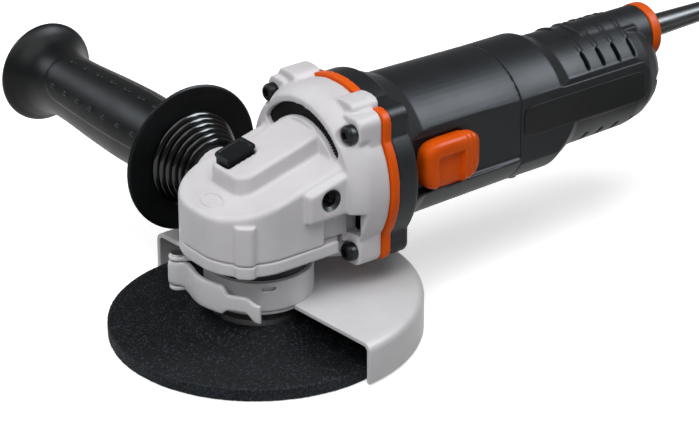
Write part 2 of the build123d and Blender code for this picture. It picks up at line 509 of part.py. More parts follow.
def make_gears():
    """Crown gear on the spindle and pinion on the armature, in mesh at +X."""
    module = 2 * GEAR_PITCH_R / GEAR_TEETH
    pinion_angle = math.atan(PINION_TEETH / GEAR_TEETH)
    gear_angle = math.pi / 2 - pinion_angle
    cone = GEAR_PITCH_R / math.sin(gear_angle)
    gear_add, pinion_add, clear = 0.65 * module, 0.95 * module, 0.25 * module
    gear_ded, pinion_ded = pinion_add + clear, gear_add + clear
    blank = bevel_blank(gear_angle, cone, gear_ded, 13.2, MOTOR_Z - 49.0)
    tooth = gear_tooth(gear_angle, GEAR_TEETH, cone, gear_add, gear_ded)
    gear = blank + [Rot(0, 0, 360 / GEAR_TEETH * k) * tooth for k in range(GEAR_TEETH)]
    gear = Pos(0, 0, MOTOR_Z) * Rot(180, 0, 0) * gear
    gear += rod_z(13.4, 49.0, 55.0) - rod_z(6.0, 40.0, 60.0)
    for quarter in range(4):
        gear -= rod_z(LOCK_PIN_R + 0.35, 48.0, 56.0, *polar(LOCK_R, LOCK_ANGLE + 90 * quarter))
    PIECES["crown_gear"] = gear
    blank = bevel_blank(pinion_angle, cone, pinion_ded, 2.5, 23.4)
    tooth = gear_tooth(pinion_angle, PINION_TEETH, cone, pinion_add, pinion_ded)
    step = 360 / PINION_TEETH
    pinion = blank + [Rot(0, 0, step * (k + 0.5)) * tooth for k in range(PINION_TEETH)]
    PIECES["pinion"] = Pos(0, 0, MOTOR_Z) * Rot(0, 90, 0) * pinion
    nut = prism_x(RegularPolygon(4.4, 6), 9.8, 13.2) - rod_x(2.5, 5.0, 20.0)
    PIECES["pinion_nut"] = nut


def make_spindle():
    """Spindle with spacer, flanges and grinding disc."""
    spindle = [(0, 1.6), (6.4, 1.6), (7.0, 2.2), (7.0, 16.5), (9.0, 16.5)]
    spindle += [(9.0, 33.3), (6.0, 33.3), (6.0, 56.5), (4.0, 58.5), (4.0, SPINDLE_TOP), (0, SPINDLE_TOP)]
    PIECES["spindle"] = turned_z(spindle)
    PIECES["spindle_spacer"] = rod_z(8.0, 41.7, 49.0) - rod_z(6.0, 40.0, 50.0)
    flange = turned_z([(7.0, 11.0), (20.0, 11.0), (20.0, 13.5), (12.0, 16.5), (7.0, 16.5)])
    flange += rod_z(11.0, 8.0, 11.5)
    PIECES["inner_flange"] = flange - rod_z(7.0, 5.0, 20.0)
    disc = [(DISC_BORE_R, 5.0), (21.0, 5.0), (29.0, 0.0), (DISC_R, 0.0), (DISC_R, DISC_T)]
    disc += [(31.5, DISC_T), (23.5, 11.0), (DISC_BORE_R, 11.0)]
    PIECES["grinding_disc"] = turned_z(disc)
    nut = rod_z(17.0, 1.2, 5.0) - rod_z(7.0, 0.0, 6.0)
    for quarter in range(4):
        nut -= rod_z(2.2, 0.0, 3.2, *polar(13.0, 45 + 90 * quarter))
    PIECES["flange_nut"] = nut


def make_lock():
    """Spindle lock: sloped button on the spine, pin to the gear and return spring."""
    lx, ly = polar(LOCK_R, LOCK_ANGLE)
    button = below(box(BUTTON_X, BUTTON_Y, (72.5, 95.0)), SPINE_Z + BUTTON_PROUD, SPINE_SLOPE)
    button = fillet(button.faces().sort_by(Axis.Z)[-1].edges(), 0.8)
    button -= rod_z(LOCK_PIN_R, 70.0, 75.0, lx, ly)
    PIECES["lock_button"] = button
    PIECES["lock_pin"] = rod_z(LOCK_PIN_R, 56.2, 75.0, lx, ly)
    path = Helix(2.2, 8.8, 3.4)
    spring = sweep(Plane(path @ 0, z_dir=path % 0) * Circle(0.35), path)
    PIECES["lock_spring"] = Pos(lx, ly, 63.25) * spring


def make_guard():
    """Half-round guard, clamp band with hinge ears, hinge pin and lever."""
    inner = GUARD_R - GUARD_T
    bend = 4.0
    outer_arc = (GUARD_R - bend * 0.293, 0, GUARD_TOP - bend * 0.293)
    inner_arc = (GUARD_R - bend + (bend - GUARD_T) * 0.707, 0, GUARD_TOP - bend + (bend - GUARD_T) * 0.707)
    low = GUARD_TOP - GUARD_T
    edges = [
        Line((BAND_R - 0.6, 0, low), (BAND_R - 0.6, 0, GUARD_TOP)),
        Line((BAND_R - 0.6, 0, GUARD_TOP), (GUARD_R - bend, 0, GUARD_TOP)),
        ThreePointArc((GUARD_R - bend, 0, GUARD_TOP), outer_arc, (GUARD_R, 0, GUARD_TOP - bend)),
        Line((GUARD_R, 0, GUARD_TOP - bend), (GUARD_R, 0, GUARD_SKIRT)),
        Line((GUARD_R, 0, GUARD_SKIRT), (inner, 0, GUARD_SKIRT)),
        Line((inner, 0, GUARD_SKIRT), (inner, 0, GUARD_TOP - bend)),
        ThreePointArc((inner, 0, GUARD_TOP - bend), inner_arc, (GUARD_R - bend, 0, low)),
        Line((GUARD_R - bend, 0, low), (BAND_R - 0.6, 0, low)),
    ]
    PIECES["guard_shell"] = Rot(0, 0, GUARD_TURN - 90) * revolve(make_face(edges), Axis.Z, 180)
    band_ring = sector(COLLAR_R + 0.06, BAND_R, PIN_ANGLE + 6, PIN_ANGLE + 358)
    band = extrude(Pos(0, 0, GUARD_TOP) * band_ring, BAND_TOP - GUARD_TOP)
    foot = sector(COLLAR_R + 0.06, BAND_R - 0.6, PIN_ANGLE + 6, PIN_ANGLE + 358)
    band += extrude(Pos(0, 0, 17.0) * foot, 2.5)
    px, py = polar(PIN_AT, PIN_ANGLE)
    for z in (GUARD_TOP, BAND_TOP - 1.5):
        arm = Pos((BAND_R - 1.0 + PIN_AT) / 2, 0) * Rectangle(PIN_AT - BAND_R + 1.0, 6.4)
        ear = Rot(0, 0, PIN_ANGLE) * arm + Pos(px, py) * Circle(3.6) - Circle(BAND_R - 0.7)
        band += extrude(Pos(0, 0, z) * ear, 1.5)
    band -= rod_z(PIN_R, 10.0, 40.0, px, py)
    window = Rot(0, 0, 245) * Pos(BAND_R, 0, 29.2) * Box(6, 5.5, 2.6)
    PIECES["clamp_band"] = band - window
    pin = rod_z(PIN_R, GUARD_TOP - 0.6, BAND_TOP, px, py) + rod_z(2.6, BAND_TOP, BAND_TOP + 1.0, px, py)
    PIECES["clamp_pin"] = pin
    low, high = GUARD_TOP + 1.9, BAND_TOP - 1.9
    lever = extrude(Pos(0, 0, low) * Pos(px, py) * Circle(3.4), high - low)
    root = sector(LEVER_R + 0.2, LEVER_R + LEVER_T + 3.6, PIN_ANGLE + 1, PIN_ANGLE + 9)
    lever += extrude(Pos(0, 0, low) * root, high - low)
    blade = sector(LEVER_R, LEVER_R + LEVER_T, PIN_ANGLE + 8, LEVER_END)
    lever += extrude(Pos(0, 0, GUARD_TOP + 0.6) * blade, 12.6)
    tail = sector(LEVER_R, LEVER_R + LEVER_T, LEVER_END - 1, LEVER_TAIL_END - 8)
    lever += extrude(Pos(0, 0, GUARD_TOP + 3.0) * tail, 6.6)
    tip = sector(LEVER_R + 0.8, LEVER_R + LEVER_T + 2.2, LEVER_TAIL_END - 9, LEVER_TAIL_END)
    lever += extrude(Pos(0, 0, GUARD_TOP - 0.4) * tip, 7.4)
    PIECES["clamp_lever"] = lever - rod_z(PIN_R + 0.05, 10.0, 40.0, px, py)


def make_handle():
    """Side handle: stud, ribbed neck and the moulded grip with its hand flange."""
    span = HANDLE_FLANGE_Y - BOSS_Y
    pitch = span / NECK_RIBS
    neck = [(BOSS_Y, 0)]
    for k in range(NECK_RIBS):
        crest = NECK_SMALL_R + (NECK_LARGE_R - NECK_SMALL_R) * (k + 0.5) / NECK_RIBS
        y = BOSS_Y + pitch * k
        neck += [(y + 0.02, crest - 2.0), (y + 0.5, crest)]
        neck += [(y + pitch * 0.72, crest), (y + pitch * 0.84, crest - 2.0)]
    neck += [(HANDLE_FLANGE_Y, NECK_LARGE_R - 1.5), (HANDLE_FLANGE_Y, 0)]
    PIECES["handle_neck"] = turned_y(neck, HANDLE_X, HANDLE_Z) - rod_y(STUD_R, 30.0, 60.0, HANDLE_X, HANDLE_Z)
    y0 = HANDLE_FLANGE_Y
    grip = [(y0, 0), (y0, HANDLE_FLANGE_R - 0.8)]
    grip += [(y0 + 0.9, HANDLE_FLANGE_R), (y0 + 2.0, HANDLE_FLANGE_R - 0.6)]
    grip += [(y0 + 5.0, 18.0), (y0 + 9.0, GRIP_BELLY_R - 0.8)]
    grip += [(y0 + 30.0, GRIP_BELLY_R + 0.3), (y0 + 55.0, GRIP_BELLY_R)]
    grip += [(y0 + 84.0, GRIP_WAIST_R + 0.9), (y0 + 97.0, GRIP_WAIST_R + 0.6), (y0 + 106.0, 15.5)]
    grip += [(HANDLE_END - 7.0, POMMEL_R - 1.0), (HANDLE_END - 4.0, POMMEL_R)]
    grip += [(HANDLE_END - 1.5, POMMEL_R - 1.2), (HANDLE_END, POMMEL_R - 5.0), (HANDLE_END, 0)]
    solid = turned_y(grip, HANDLE_X, HANDLE_Z)
    PIECES["handle_grip"] = solid - rod_y(STUD_R, 40.0, 86.0, HANDLE_X, HANDLE_Z)
    PIECES["handle_stud"] = rod_y(STUD_R, STUD_START, 85.0, HANDLE_X, HANDLE_Z)


def corner_radii(points):
    """Largest bend at each corner of a route: 0.45 of its shorter run over the half turn's tangent."""
    radii = []
    for before, here, after in zip(points, points[1:], points[2:]):
        first, second = Vector(*here) - Vector(*before), Vector(*after) - Vector(*here)
        turn = math.radians(first.get_angle(second))
        radii.append(0.45 * min(first.length, second.length) / math.tan(turn / 2))
    return radii


def biarc(start, start_way, end, end_way):
    """Two arcs that leave start along start_way and reach end along end_way."""
    gap, both = end - start, start_way + end_way
    spread = 2 * (1 - start_way.dot(end_way))
    reach = (math.sqrt(gap.dot(both) ** 2 + spread * gap.dot(gap)) - gap.dot(both)) / spread
    middle = (start + end + (start_way - end_way) * reach) * 0.5
    middle_way = (middle - start - start_way * reach).normalized()
    return [TangentArc(start, middle, tangent=start_way), TangentArc(middle, end, tangent=middle_way)]


def coil_point(turn):
    """Centre of the coiled cord after so many turns: spiral in, climb a layer in half a turn, spiral out."""
    half = (COIL_TURNS - 0.5) / 2
    inner = COIL_OUTER_R - COIL_PITCH * half
    low = TIE_T + 0.2 + CORD_D / 2
    if turn <= half:
        radius, z = COIL_OUTER_R - COIL_PITCH * turn, low
    elif turn >= half + 0.5:
        radius, z = inner + COIL_PITCH * (turn - half - 0.5), low + COIL_PITCH
    else:
        f = turn - half
        radius = inner - COIL_PITCH * f + 2 * COIL_PITCH * f * f
        z = low + COIL_PITCH * (0.5 - 0.5 * math.cos(2 * math.pi * f))
    dx, dy = polar(radius, -360 * turn)
    return Vector(COIL_X + dx, COIL_Y + dy, z)


def coil_way(turn):
    """Direction of the coiled cord after so many turns."""
    step = 1e-4
    return (coil_point(turn + step) - coil_point(turn - step)).normalized()


def make_cord():
    """Mains cord from the guard to the floor, its put-away coil, the tie and the plug."""
    radius = CORD_D / 2
    start, start_way = coil_point(0.0), coil_way(0.0)
    lead_in = start - start_way * CORD_D
    route = CORD_ROUTE + [tuple(lead_in)]
    radii = corner_radii(route)
    print("cord bend radii", [round(r, 1) for r in radii])
    path = FilletPolyline(*route, radius=radii)
    tube = sweep(Plane(path @ 0, z_dir=path % 0) * Circle(radius), path)
    share = tube.volume / (math.pi * radius**2 * path.length)
    print("cord tube volume over section times length", round(share, 4), "length", round(path.length, 1))
    PIECES["mains_cord"] = tube
    quarters = round(COIL_TURNS * 4)
    edges = [Line(lead_in, start)]
    for k in range(quarters):
        a, b = k / 4, (k + 1) / 4
        edges += biarc(coil_point(a), coil_way(a), coil_point(b), coil_way(b))
    end, end_way = coil_point(COIL_TURNS), coil_way(COIL_TURNS)
    end_way = Vector(end_way.X, end_way.Y, 0).normalized()
    plug_start = end + end_way * TAIL_LENGTH
    edges.append(Line(end, plug_start))
    coil_path = Wire(edges)
    coil = sweep(Plane(lead_in, z_dir=start_way) * Circle(radius), coil_path)
    share = coil.volume / (math.pi * radius**2 * coil_path.length)
    print("coil volume over section times length", round(share, 4), "length", round(coil_path.length, 1))
    samples = [coil_point(i / 96) for i in range(int(COIL_TURNS * 96) + 1)]
    apart = 40
    gap = min(
        (samples[i] - samples[j]).length for i in range(len(samples)) for j in range(i + apart, len(samples))
    )
    print("coil least gap to itself", round(gap - CORD_D, 2))
    print("cord length", round(path.length + coil_path.length, 1))
    PIECES["cord_coil"] = coil
    half = (COIL_TURNS - 0.5) / 2
    inside = COIL_OUTER_R - COIL_PITCH * (half + 0.5) - radius - 0.6
    outside = COIL_OUTER_R + radius + 0.4
    top = TIE_T + 0.2 + CORD_D + COIL_PITCH + 0.3
    section = Pos((inside + outside) / 2, top / 2 + TIE_T / 2) * RectangleRounded(
        outside - inside + 2 * TIE_T, top + TIE_T, 3.4
    )
    middle = Pos((inside + outside) / 2, top / 2 + TIE_T / 2)
    hollow = middle * RectangleRounded(outside - inside, top - TIE_T, 2.0)
    strap = extrude(Plane.XZ * (section - hollow), TIE_WIDTH / 2, both=True)
    PIECES["coil_tie"] = Pos(COIL_X, COIL_Y, 0) * Rot(0, 0, TIE_ANGLE) * strap
    make_plug(plug_start, end_way)


def make_plug(start, way):
    """Two-pin moulded plug lying flat beside the coil."""
    frame = Plane(start, x_dir=(0, 0, 1), z_dir=way)
    half_t = start.Z
    boot = loft([frame * Circle(5.2), frame.offset(16) * Circle(6.4)], ruled=True)
    slices = [(16, 13.0, 13.0, 6.4), (26, 22.0, 28.0, 9.0)]
    slices += [(34, 2 * half_t, 35.0, 11.0), (47, 2 * half_t, 35.0, 11.0)]
    faces = [frame.offset(d) * RectangleRounded(h, w, r) for d, h, w, r in slices]
    body = boot + loft(faces, ruled=True)
    pins = []
    for side in (-9.5, 9.5):
        place = frame * Pos(0, side, 0)
        body -= place * Pos(0, 0, 41.5) * Cylinder(2.4, 12)
        pin = Pos(0, 0, 51.0) * Cylinder(2.4, 31.0)
        pins.append(place * fillet(pin.edges().sort_by(Axis.Z)[-1], 1.2))
    PIECES["plug_body"] = body
    PIECES["plug_pins"] = Compound(pins)


def main():
    """Build every piece and write one file for each."""
    make_gear_case()
    make_bearing_cover()
    make_case_hardware()
    make_motor_housing()
    make_rear_cover()
    make_motor()
    make_electrics()
    make_gears()
    make_spindle()
    make_lock()
    make_guard()
    make_handle()
    make_cord()
    os.makedirs("parts", exist_ok=True)
    for name, shape in PIECES.items():
        export_step(shape, f"parts/{name}.step")
    print(len(PIECES), "pieces written")


main()
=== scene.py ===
"""Corded angle grinder: finishes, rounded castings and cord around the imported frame."""
import json
import logging
import math
from dataclasses import dataclass, field
from enum import Enum

import bmesh
import bpy
import numpy as np
from mathutils import Matrix, Vector


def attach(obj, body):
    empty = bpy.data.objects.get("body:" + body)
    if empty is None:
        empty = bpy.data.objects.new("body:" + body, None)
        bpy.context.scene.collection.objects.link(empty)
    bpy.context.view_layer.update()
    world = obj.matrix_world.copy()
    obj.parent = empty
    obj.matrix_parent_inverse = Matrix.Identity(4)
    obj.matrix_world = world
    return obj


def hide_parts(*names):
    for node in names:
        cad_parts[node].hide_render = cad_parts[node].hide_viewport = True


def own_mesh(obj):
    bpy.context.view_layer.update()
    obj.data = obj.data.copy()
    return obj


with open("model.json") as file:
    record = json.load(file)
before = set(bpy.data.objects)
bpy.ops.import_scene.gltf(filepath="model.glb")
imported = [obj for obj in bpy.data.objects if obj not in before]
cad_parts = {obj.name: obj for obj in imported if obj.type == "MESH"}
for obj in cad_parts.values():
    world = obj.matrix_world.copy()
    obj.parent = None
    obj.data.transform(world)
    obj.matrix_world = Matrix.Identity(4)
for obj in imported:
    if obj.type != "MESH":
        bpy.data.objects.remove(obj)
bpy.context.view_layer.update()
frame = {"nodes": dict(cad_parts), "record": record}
LOG = logging.getLogger("grinder")

MM = 0.001
MOTOR_Z = 63.3

Piece = bpy.types.Object
Pair = tuple[float, float]
Triple = tuple[float, float, float]


class Axis(Enum):
    """Direction that a turned piece is turned about."""

    X = (0, 1, 2)
    Y = (1, 2, 0)
    Z = (2, 0, 1)


class Closing(Enum):
    """How the edges of a grid of points are joined."""

    TUBE = "tube"
    CAPPED = "capped"
    LOOP = "loop"
    ARC = "arc"


def linear(colour: str) -> tuple[float, float, float, float]:
    """Linear colour of an sRGB hex value.

    Args:
        colour: six hex digits after a hash sign.

    Returns:
        Red, green, blue and alpha.
    """
    channels = np.array([int(colour[i : i + 2], 16) for i in (1, 3, 5)]) / 255
    straight = np.where(channels <= 0.04045, channels / 12.92, ((channels + 0.055) / 1.055) ** 2.4)
    return (*straight.tolist(), 1.0)


def mesh_object(name: str, points: np.ndarray, faces: list) -> Piece:
    """Smooth-shaded object from points in millimetres, welded and facing outwards.

    Args:
        name: the piece's name.
        points: coordinates in millimetres, one row each.
        faces: lists of point numbers.

    Returns:
        The new object, linked to the scene.
    """
    mesh = bpy.data.meshes.new(name)
    mesh.from_pydata((points * MM).tolist(), [], faces)
    weld(mesh, 1e-7, True)
    piece = bpy.data.objects.new(name, mesh)
    bpy.context.scene.collection.objects.link(piece)
    smooth(piece)
    return piece


def weld(mesh: bpy.types.Mesh, distance: float, outwards: bool) -> None:
    """Merges points closer than a distance, and turns the faces outwards if asked."""
    work = bmesh.new()
    work.from_mesh(mesh)
    bmesh.ops.remove_doubles(work, verts=work.verts, dist=distance)
    if outwards:
        bmesh.ops.recalc_face_normals(work, faces=work.faces)
    work.to_mesh(mesh)
    work.free()


def smooth(piece: Piece, angle: float = 40.0) -> None:
    """Shades a piece smooth, with edges sharper than the angle in degrees kept."""
    mesh = piece.data
    mesh.polygons.foreach_set("use_smooth", np.ones(len(mesh.polygons), bool))
    mesh.set_sharp_from_angle(angle=math.radians(angle))


def grid_faces(rows: int, columns: int, closing: Closing) -> list:
    """Quads between neighbouring points of a grid, with its ends joined or capped.

    Args:
        rows: points down the grid.
        columns: points across the grid.
        closing: which edges are joined or capped.

    Returns:
        Lists of point numbers.
    """
    index = np.arange(rows * columns).reshape(rows, columns)
    across = closing in (Closing.TUBE, Closing.CAPPED, Closing.LOOP)
    down = closing in (Closing.LOOP, Closing.ARC)
    wide = np.concatenate([index, index[:, :1]], axis=1) if across else index
    wide = np.concatenate([wide, wide[:1]], axis=0) if down else wide
    corners = [wide[:-1, :-1], wide[:-1, 1:], wide[1:, 1:], wide[1:, :-1]]
    faces = np.stack(corners, axis=-1).reshape(-1, 4).tolist()
    if closing is Closing.CAPPED:
        faces += [index[0, ::-1].tolist(), index[-1].tolist()]
    if closing is Closing.ARC:
        faces += [index[::-1, 0].tolist(), index[:, -1].tolist()]
    return faces


def surface(name: str, grid: np.ndarray, closing: Closing) -> Piece:
    """Object from a grid of points, rows by columns by three, in millimetres."""
    faces = grid_faces(grid.shape[0], grid.shape[1], closing)
    return mesh_object(name, grid.reshape(-1, 3), faces)


def gathered(name: str, grids: np.ndarray, closing: Closing) -> Piece:
    """One object from several grids of the same size, in millimetres."""
    count = grids.shape[1] * grids.shape[2]
    faces = grid_faces(*grids.shape[1:3], closing)
    every = [[n + k * count for n in face] for k in range(len(grids)) for face in faces]
    return mesh_object(name, grids.reshape(-1, 3), every)


def repeated(name: str, grid: np.ndarray, closing: Closing, places: np.ndarray) -> Piece:
    """One object with the same grid at many places: point times turn plus shift.

    Args:
        name: the piece's name.
        grid: rows by columns by three, in millimetres.
        closing: how the grid's edges are joined.
        places: one 4 by 4 matrix for each copy.

    Returns:
        The new object.
    """
    flat = grid.reshape(-1, 3)
    points = np.einsum("kij,pj->kpi", places[:, :3, :3], flat) + places[:, None, :3, 3]
    return gathered(name, points.reshape(-1, *grid.shape), closing)


def softened(corners: list, cut: float, steps: int = 5, closed: bool = False) -> np.ndarray:
    """Outline with each corner turned into a short curve.

    Each corner is replaced by a quadratic curve that starts and ends a cut away, or under half of the run
    where that is shorter.

    Args:
        corners: points of the outline.
        cut: distance from a corner to where its curve starts.
        steps: points on each curve.
        closed: whether the last point runs on to the first.

    Returns:
        The points of the softened outline.
    """
    here = np.array(corners, float)
    before, after = np.roll(here, 1, 0), np.roll(here, -1, 0)
    reach_in = np.linalg.norm(before - here, axis=1)[:, None]
    reach_out = np.linalg.norm(after - here, axis=1)[:, None]
    first = here + (before - here) * np.minimum(cut / np.maximum(reach_in, 1e-9), 0.48)
    last = here + (after - here) * np.minimum(cut / np.maximum(reach_out, 1e-9), 0.48)
    t = np.linspace(0, 1, steps)[None, :, None]
    curves = (1 - t) ** 2 * first[:, None] + 2 * t * (1 - t) * here[:, None] + t**2 * last[:, None]
    if closed:
        return curves.reshape(-1, 2)
    return np.concatenate([here[:1], curves[1:-1].reshape(-1, 2), here[-1:]])


def flowing(points: list, count: int) -> np.ndarray:
    """Smooth line through points: a cubic between each pair whose slopes come from their neighbours.

    Args:
        points: places that the line passes through.
        count: points on each stretch.

    Returns:
        The points of the line.
    """
    p = np.array(points, float)
    padded = np.concatenate([2 * p[:1] - p[1:2], p, 2 * p[-1:] - p[-2:-1]])
    a, b, c, d = padded[:-3], padded[1:-2], padded[2:-1], padded[3:]
    t = np.linspace(0, 1, count, endpoint=False)[None, :, None]
    a, b, c, d = a[:, None], b[:, None], c[:, None], d[:, None]
    line = 0.5 * (2 * b + (c - a) * t + (2 * a - 5 * b + 4 * c - d) * t**2 + (3 * b - a - 3 * c + d) * t**3)
    return np.concatenate([line.reshape(-1, p.shape[1]), p[-1:]])


def turned(
    profile: np.ndarray,
    axis: Axis,
    centre: Triple,
    columns: int,
    span: Pair = (0.0, 360.0),
    swell: np.ndarray | None = None,
) -> np.ndarray:
    """Grid of a profile turned about an axis: radius times cosine and sine of the angle.

    Args:
        profile: (along the axis, radius) points.
        axis: direction of the axis.
        centre: a point on the axis, added to the grid.
        columns: points around.
        span: first and last angle in degrees; a full turn leaves out the last.
        swell: added to the radius, rows by columns.

    Returns:
        Rows by columns by three.
    """
    whole = span[1] - span[0] >= 360
    angle = np.radians(np.linspace(span[0], span[1], columns, endpoint=not whole))
    radius = profile[:, 1][:, None] + (0 if swell is None else swell)
    along, first, second = axis.value
    grid = np.zeros((len(profile), columns, 3))
    grid[..., along] = profile[:, 0][:, None]
    grid[..., first] = radius * np.cos(angle)
    grid[..., second] = radius * np.sin(angle)
    return grid + np.array(centre)


def carried(section: np.ndarray, path: np.ndarray, up: np.ndarray) -> np.ndarray:
    """Grid of a flat section carried along a path: side times across plus up times height.

    Args:
        section: (across, height) points.
        path: points of the path.
        up: direction of height at each point of the path.

    Returns:
        Path points by section points by three.
    """
    way = np.gradient(path, axis=0)
    side = np.cross(way, up)
    side /= np.linalg.norm(side, axis=1)[:, None]
    rise = np.cross(side, way)
    rise /= np.linalg.norm(rise, axis=1)[:, None]
    across = side[:, None] * section[None, :, 0, None]
    return path[:, None] + across + rise[:, None] * section[None, :, 1, None]


def window(across: Pair, up: Pair) -> tuple[np.ndarray, np.ndarray]:
    """Middle and half sizes of an outline between two limits each way."""
    limits = np.array([across, up])
    return limits.mean(axis=1), np.ptp(limits, axis=1) / 2


def superellipse(half: np.ndarray, power: float, count: int) -> np.ndarray:
    """Rounded rectangle about the origin: cosine and sine to two over the power, times half sizes."""
    angle = np.linspace(0, 2 * np.pi, count, endpoint=False)
    plan = np.stack([np.cos(angle), np.sin(angle)], axis=1)
    return np.sign(plan) * np.abs(plan) ** (2 / power) * half


def smooth_step(value: np.ndarray, low: float, high: float) -> np.ndarray:
    """Zero below low, one above high, with an even slope at both ends."""
    t = np.clip((value - low) / (high - low), 0, 1)
    return t * t * (3 - 2 * t)


def rounded_copy(node: str, name: str, voxel: float, passes: int, cutters: tuple = ()) -> Piece:
    """Copy of a solid with its edges rounded as a mould leaves them.

    The solid is skinned with even small faces and each point is moved towards the middle of its neighbours.

    Args:
        node: the solid's name.
        name: the new piece's name.
        voxel: size of the small faces in millimetres.
        passes: how often the points are moved.
        cutters: objects that are cut away first, and then removed.

    Returns:
        The new object.
    """
    mesh = frame["nodes"][node].data.copy()
    mesh.materials.clear()
    weld(mesh, 1e-6, False)
    piece = bpy.data.objects.new(name, mesh)
    bpy.context.scene.collection.objects.link(piece)
    for cutter in cutters:
        cut = piece.modifiers.new("cut", "BOOLEAN")
        cut.object, cut.operation, cut.solver = cutter, "DIFFERENCE", "EXACT"
    skin = piece.modifiers.new("skin", "REMESH")
    skin.mode, skin.voxel_size = "VOXEL", voxel * MM
    relax = piece.modifiers.new("relax", "SMOOTH")
    relax.factor, relax.iterations = 0.5, passes
    shown = piece.evaluated_get(bpy.context.evaluated_depsgraph_get())
    baked = bpy.data.meshes.new_from_object(shown)
    baked.name = name
    piece.modifiers.clear()
    piece.data = baked
    baked.polygons.foreach_set("use_smooth", np.ones(len(baked.polygons), bool))
    for cutter in cutters:
        bpy.data.objects.remove(cutter)
    return piece


def reshape(piece: Piece, move) -> None:
    """Moves a piece's points by a function of their coordinates in millimetres."""
    points = np.zeros(len(piece.data.vertices) * 3, np.float32)
    piece.data.vertices.foreach_get("co", points)
    moved = move(points.reshape(-1, 3).astype(float) / MM) * MM
    piece.data.vertices.foreach_set("co", moved.astype(np.float32).ravel())
    piece.data.update()


class Shader:
    """Node tree of one material."""

    def __init__(self, name: str) -> None:
        """Starts a material with an empty tree and a coordinate node."""
        self.material = bpy.data.materials.new(name)
        self.material.use_nodes = True
        self.tree = self.material.node_tree
        self.tree.nodes.clear()
        self.place = self.add("ShaderNodeTexCoord", {}, {})

    def add(self, kind: str, settings: dict, links: dict) -> bpy.types.Node:
        """Adds a node with its settings and links.

        Args:
            kind: Blender's name for the node.
            settings: values of its sockets or properties.
            links: socket to the (node, output) that feeds it.

        Returns:
            The new node.
        """
        node = self.tree.nodes.new(kind)
        for key, value in settings.items():
            if isinstance(key, str) and key not in node.inputs:
                setattr(node, key, value)
        for key, value in settings.items():
            if not isinstance(key, str) or key in node.inputs:
                node.inputs[key].default_value = value
        for key, (source, output) in links.items():
            self.tree.links.new(source.outputs[output], node.inputs[key])
        return node

    def ramp(self, source: tuple, stops: list) -> bpy.types.Node:
        """Colour ramp over a source, from (position, sRGB hex) stops."""
        node = self.add("ShaderNodeValToRGB", {}, {"Fac": source})
        elements = node.color_ramp.elements
        while len(elements) < len(stops):
            elements.new(0.5)
        for element, (position, colour) in zip(elements, stops):
            element.position, element.color = position, linear(colour)
        return node

    def finish(self, settings: dict, links: dict) -> bpy.types.Material:
        """Ends the tree in a surface with these settings and links."""
        body = self.add("ShaderNodeBsdfPrincipled", settings, links)
        self.add("ShaderNodeOutputMaterial", {}, {"Surface": (body, "BSDF")})
        return self.material


@dataclass(frozen=True)
class Finish:
    """A surface: two close colours in soft patches, a roughness range and a fine relief."""

    name: str
    dark: str
    light: str
    roughness: Pair
    metallic: float = 0.0
    ior: float = 1.5
    patch_mm: float = 18.0
    grain_mm: float = 0.5
    depth_mm: float = 0.02
    stretch: Triple = (1.0, 1.0, 1.0)
    specular: float = 0.5

    def material(self) -> bpy.types.Material:
        """Builds the material.

        Returns:
            A material whose patches, roughness and relief all read Object coordinates.
        """
        shader = Shader(self.name)
        patch = shader.add(
            "ShaderNodeTexNoise",
            {"Scale": 1 / (self.patch_mm * MM), "Detail": 5.0, "Roughness": 0.6},
            {"Vector": (shader.place, "Object")},
        )
        colour = shader.ramp((patch, "Fac"), [(0.3, self.dark), (0.7, self.light)])
        rough = shader.add(
            "ShaderNodeMapRange",
            {"From Min": 0.3, "From Max": 0.7, "To Min": self.roughness[0], "To Max": self.roughness[1]},
            {"Value": (patch, "Fac")},
        )
        lie = shader.add("ShaderNodeMapping", {"Scale": self.stretch}, {"Vector": (shader.place, "Object")})
        scale = {"Scale": 1 / (self.grain_mm * MM)}
        fine = shader.add("ShaderNodeTexNoise", scale, {"Vector": (lie, "Vector")})
        bump = shader.add("ShaderNodeBump", {"Distance": self.depth_mm * MM}, {"Height": (fine, "Fac")})
        settings = {"Metallic": self.metallic, "IOR": self.ior, "Specular IOR Level": self.specular}
        links = {"Base Color": (colour, "Color"), "Roughness": (rough, "Result"), "Normal": (bump, "Normal")}
        return shader.finish(settings, links)


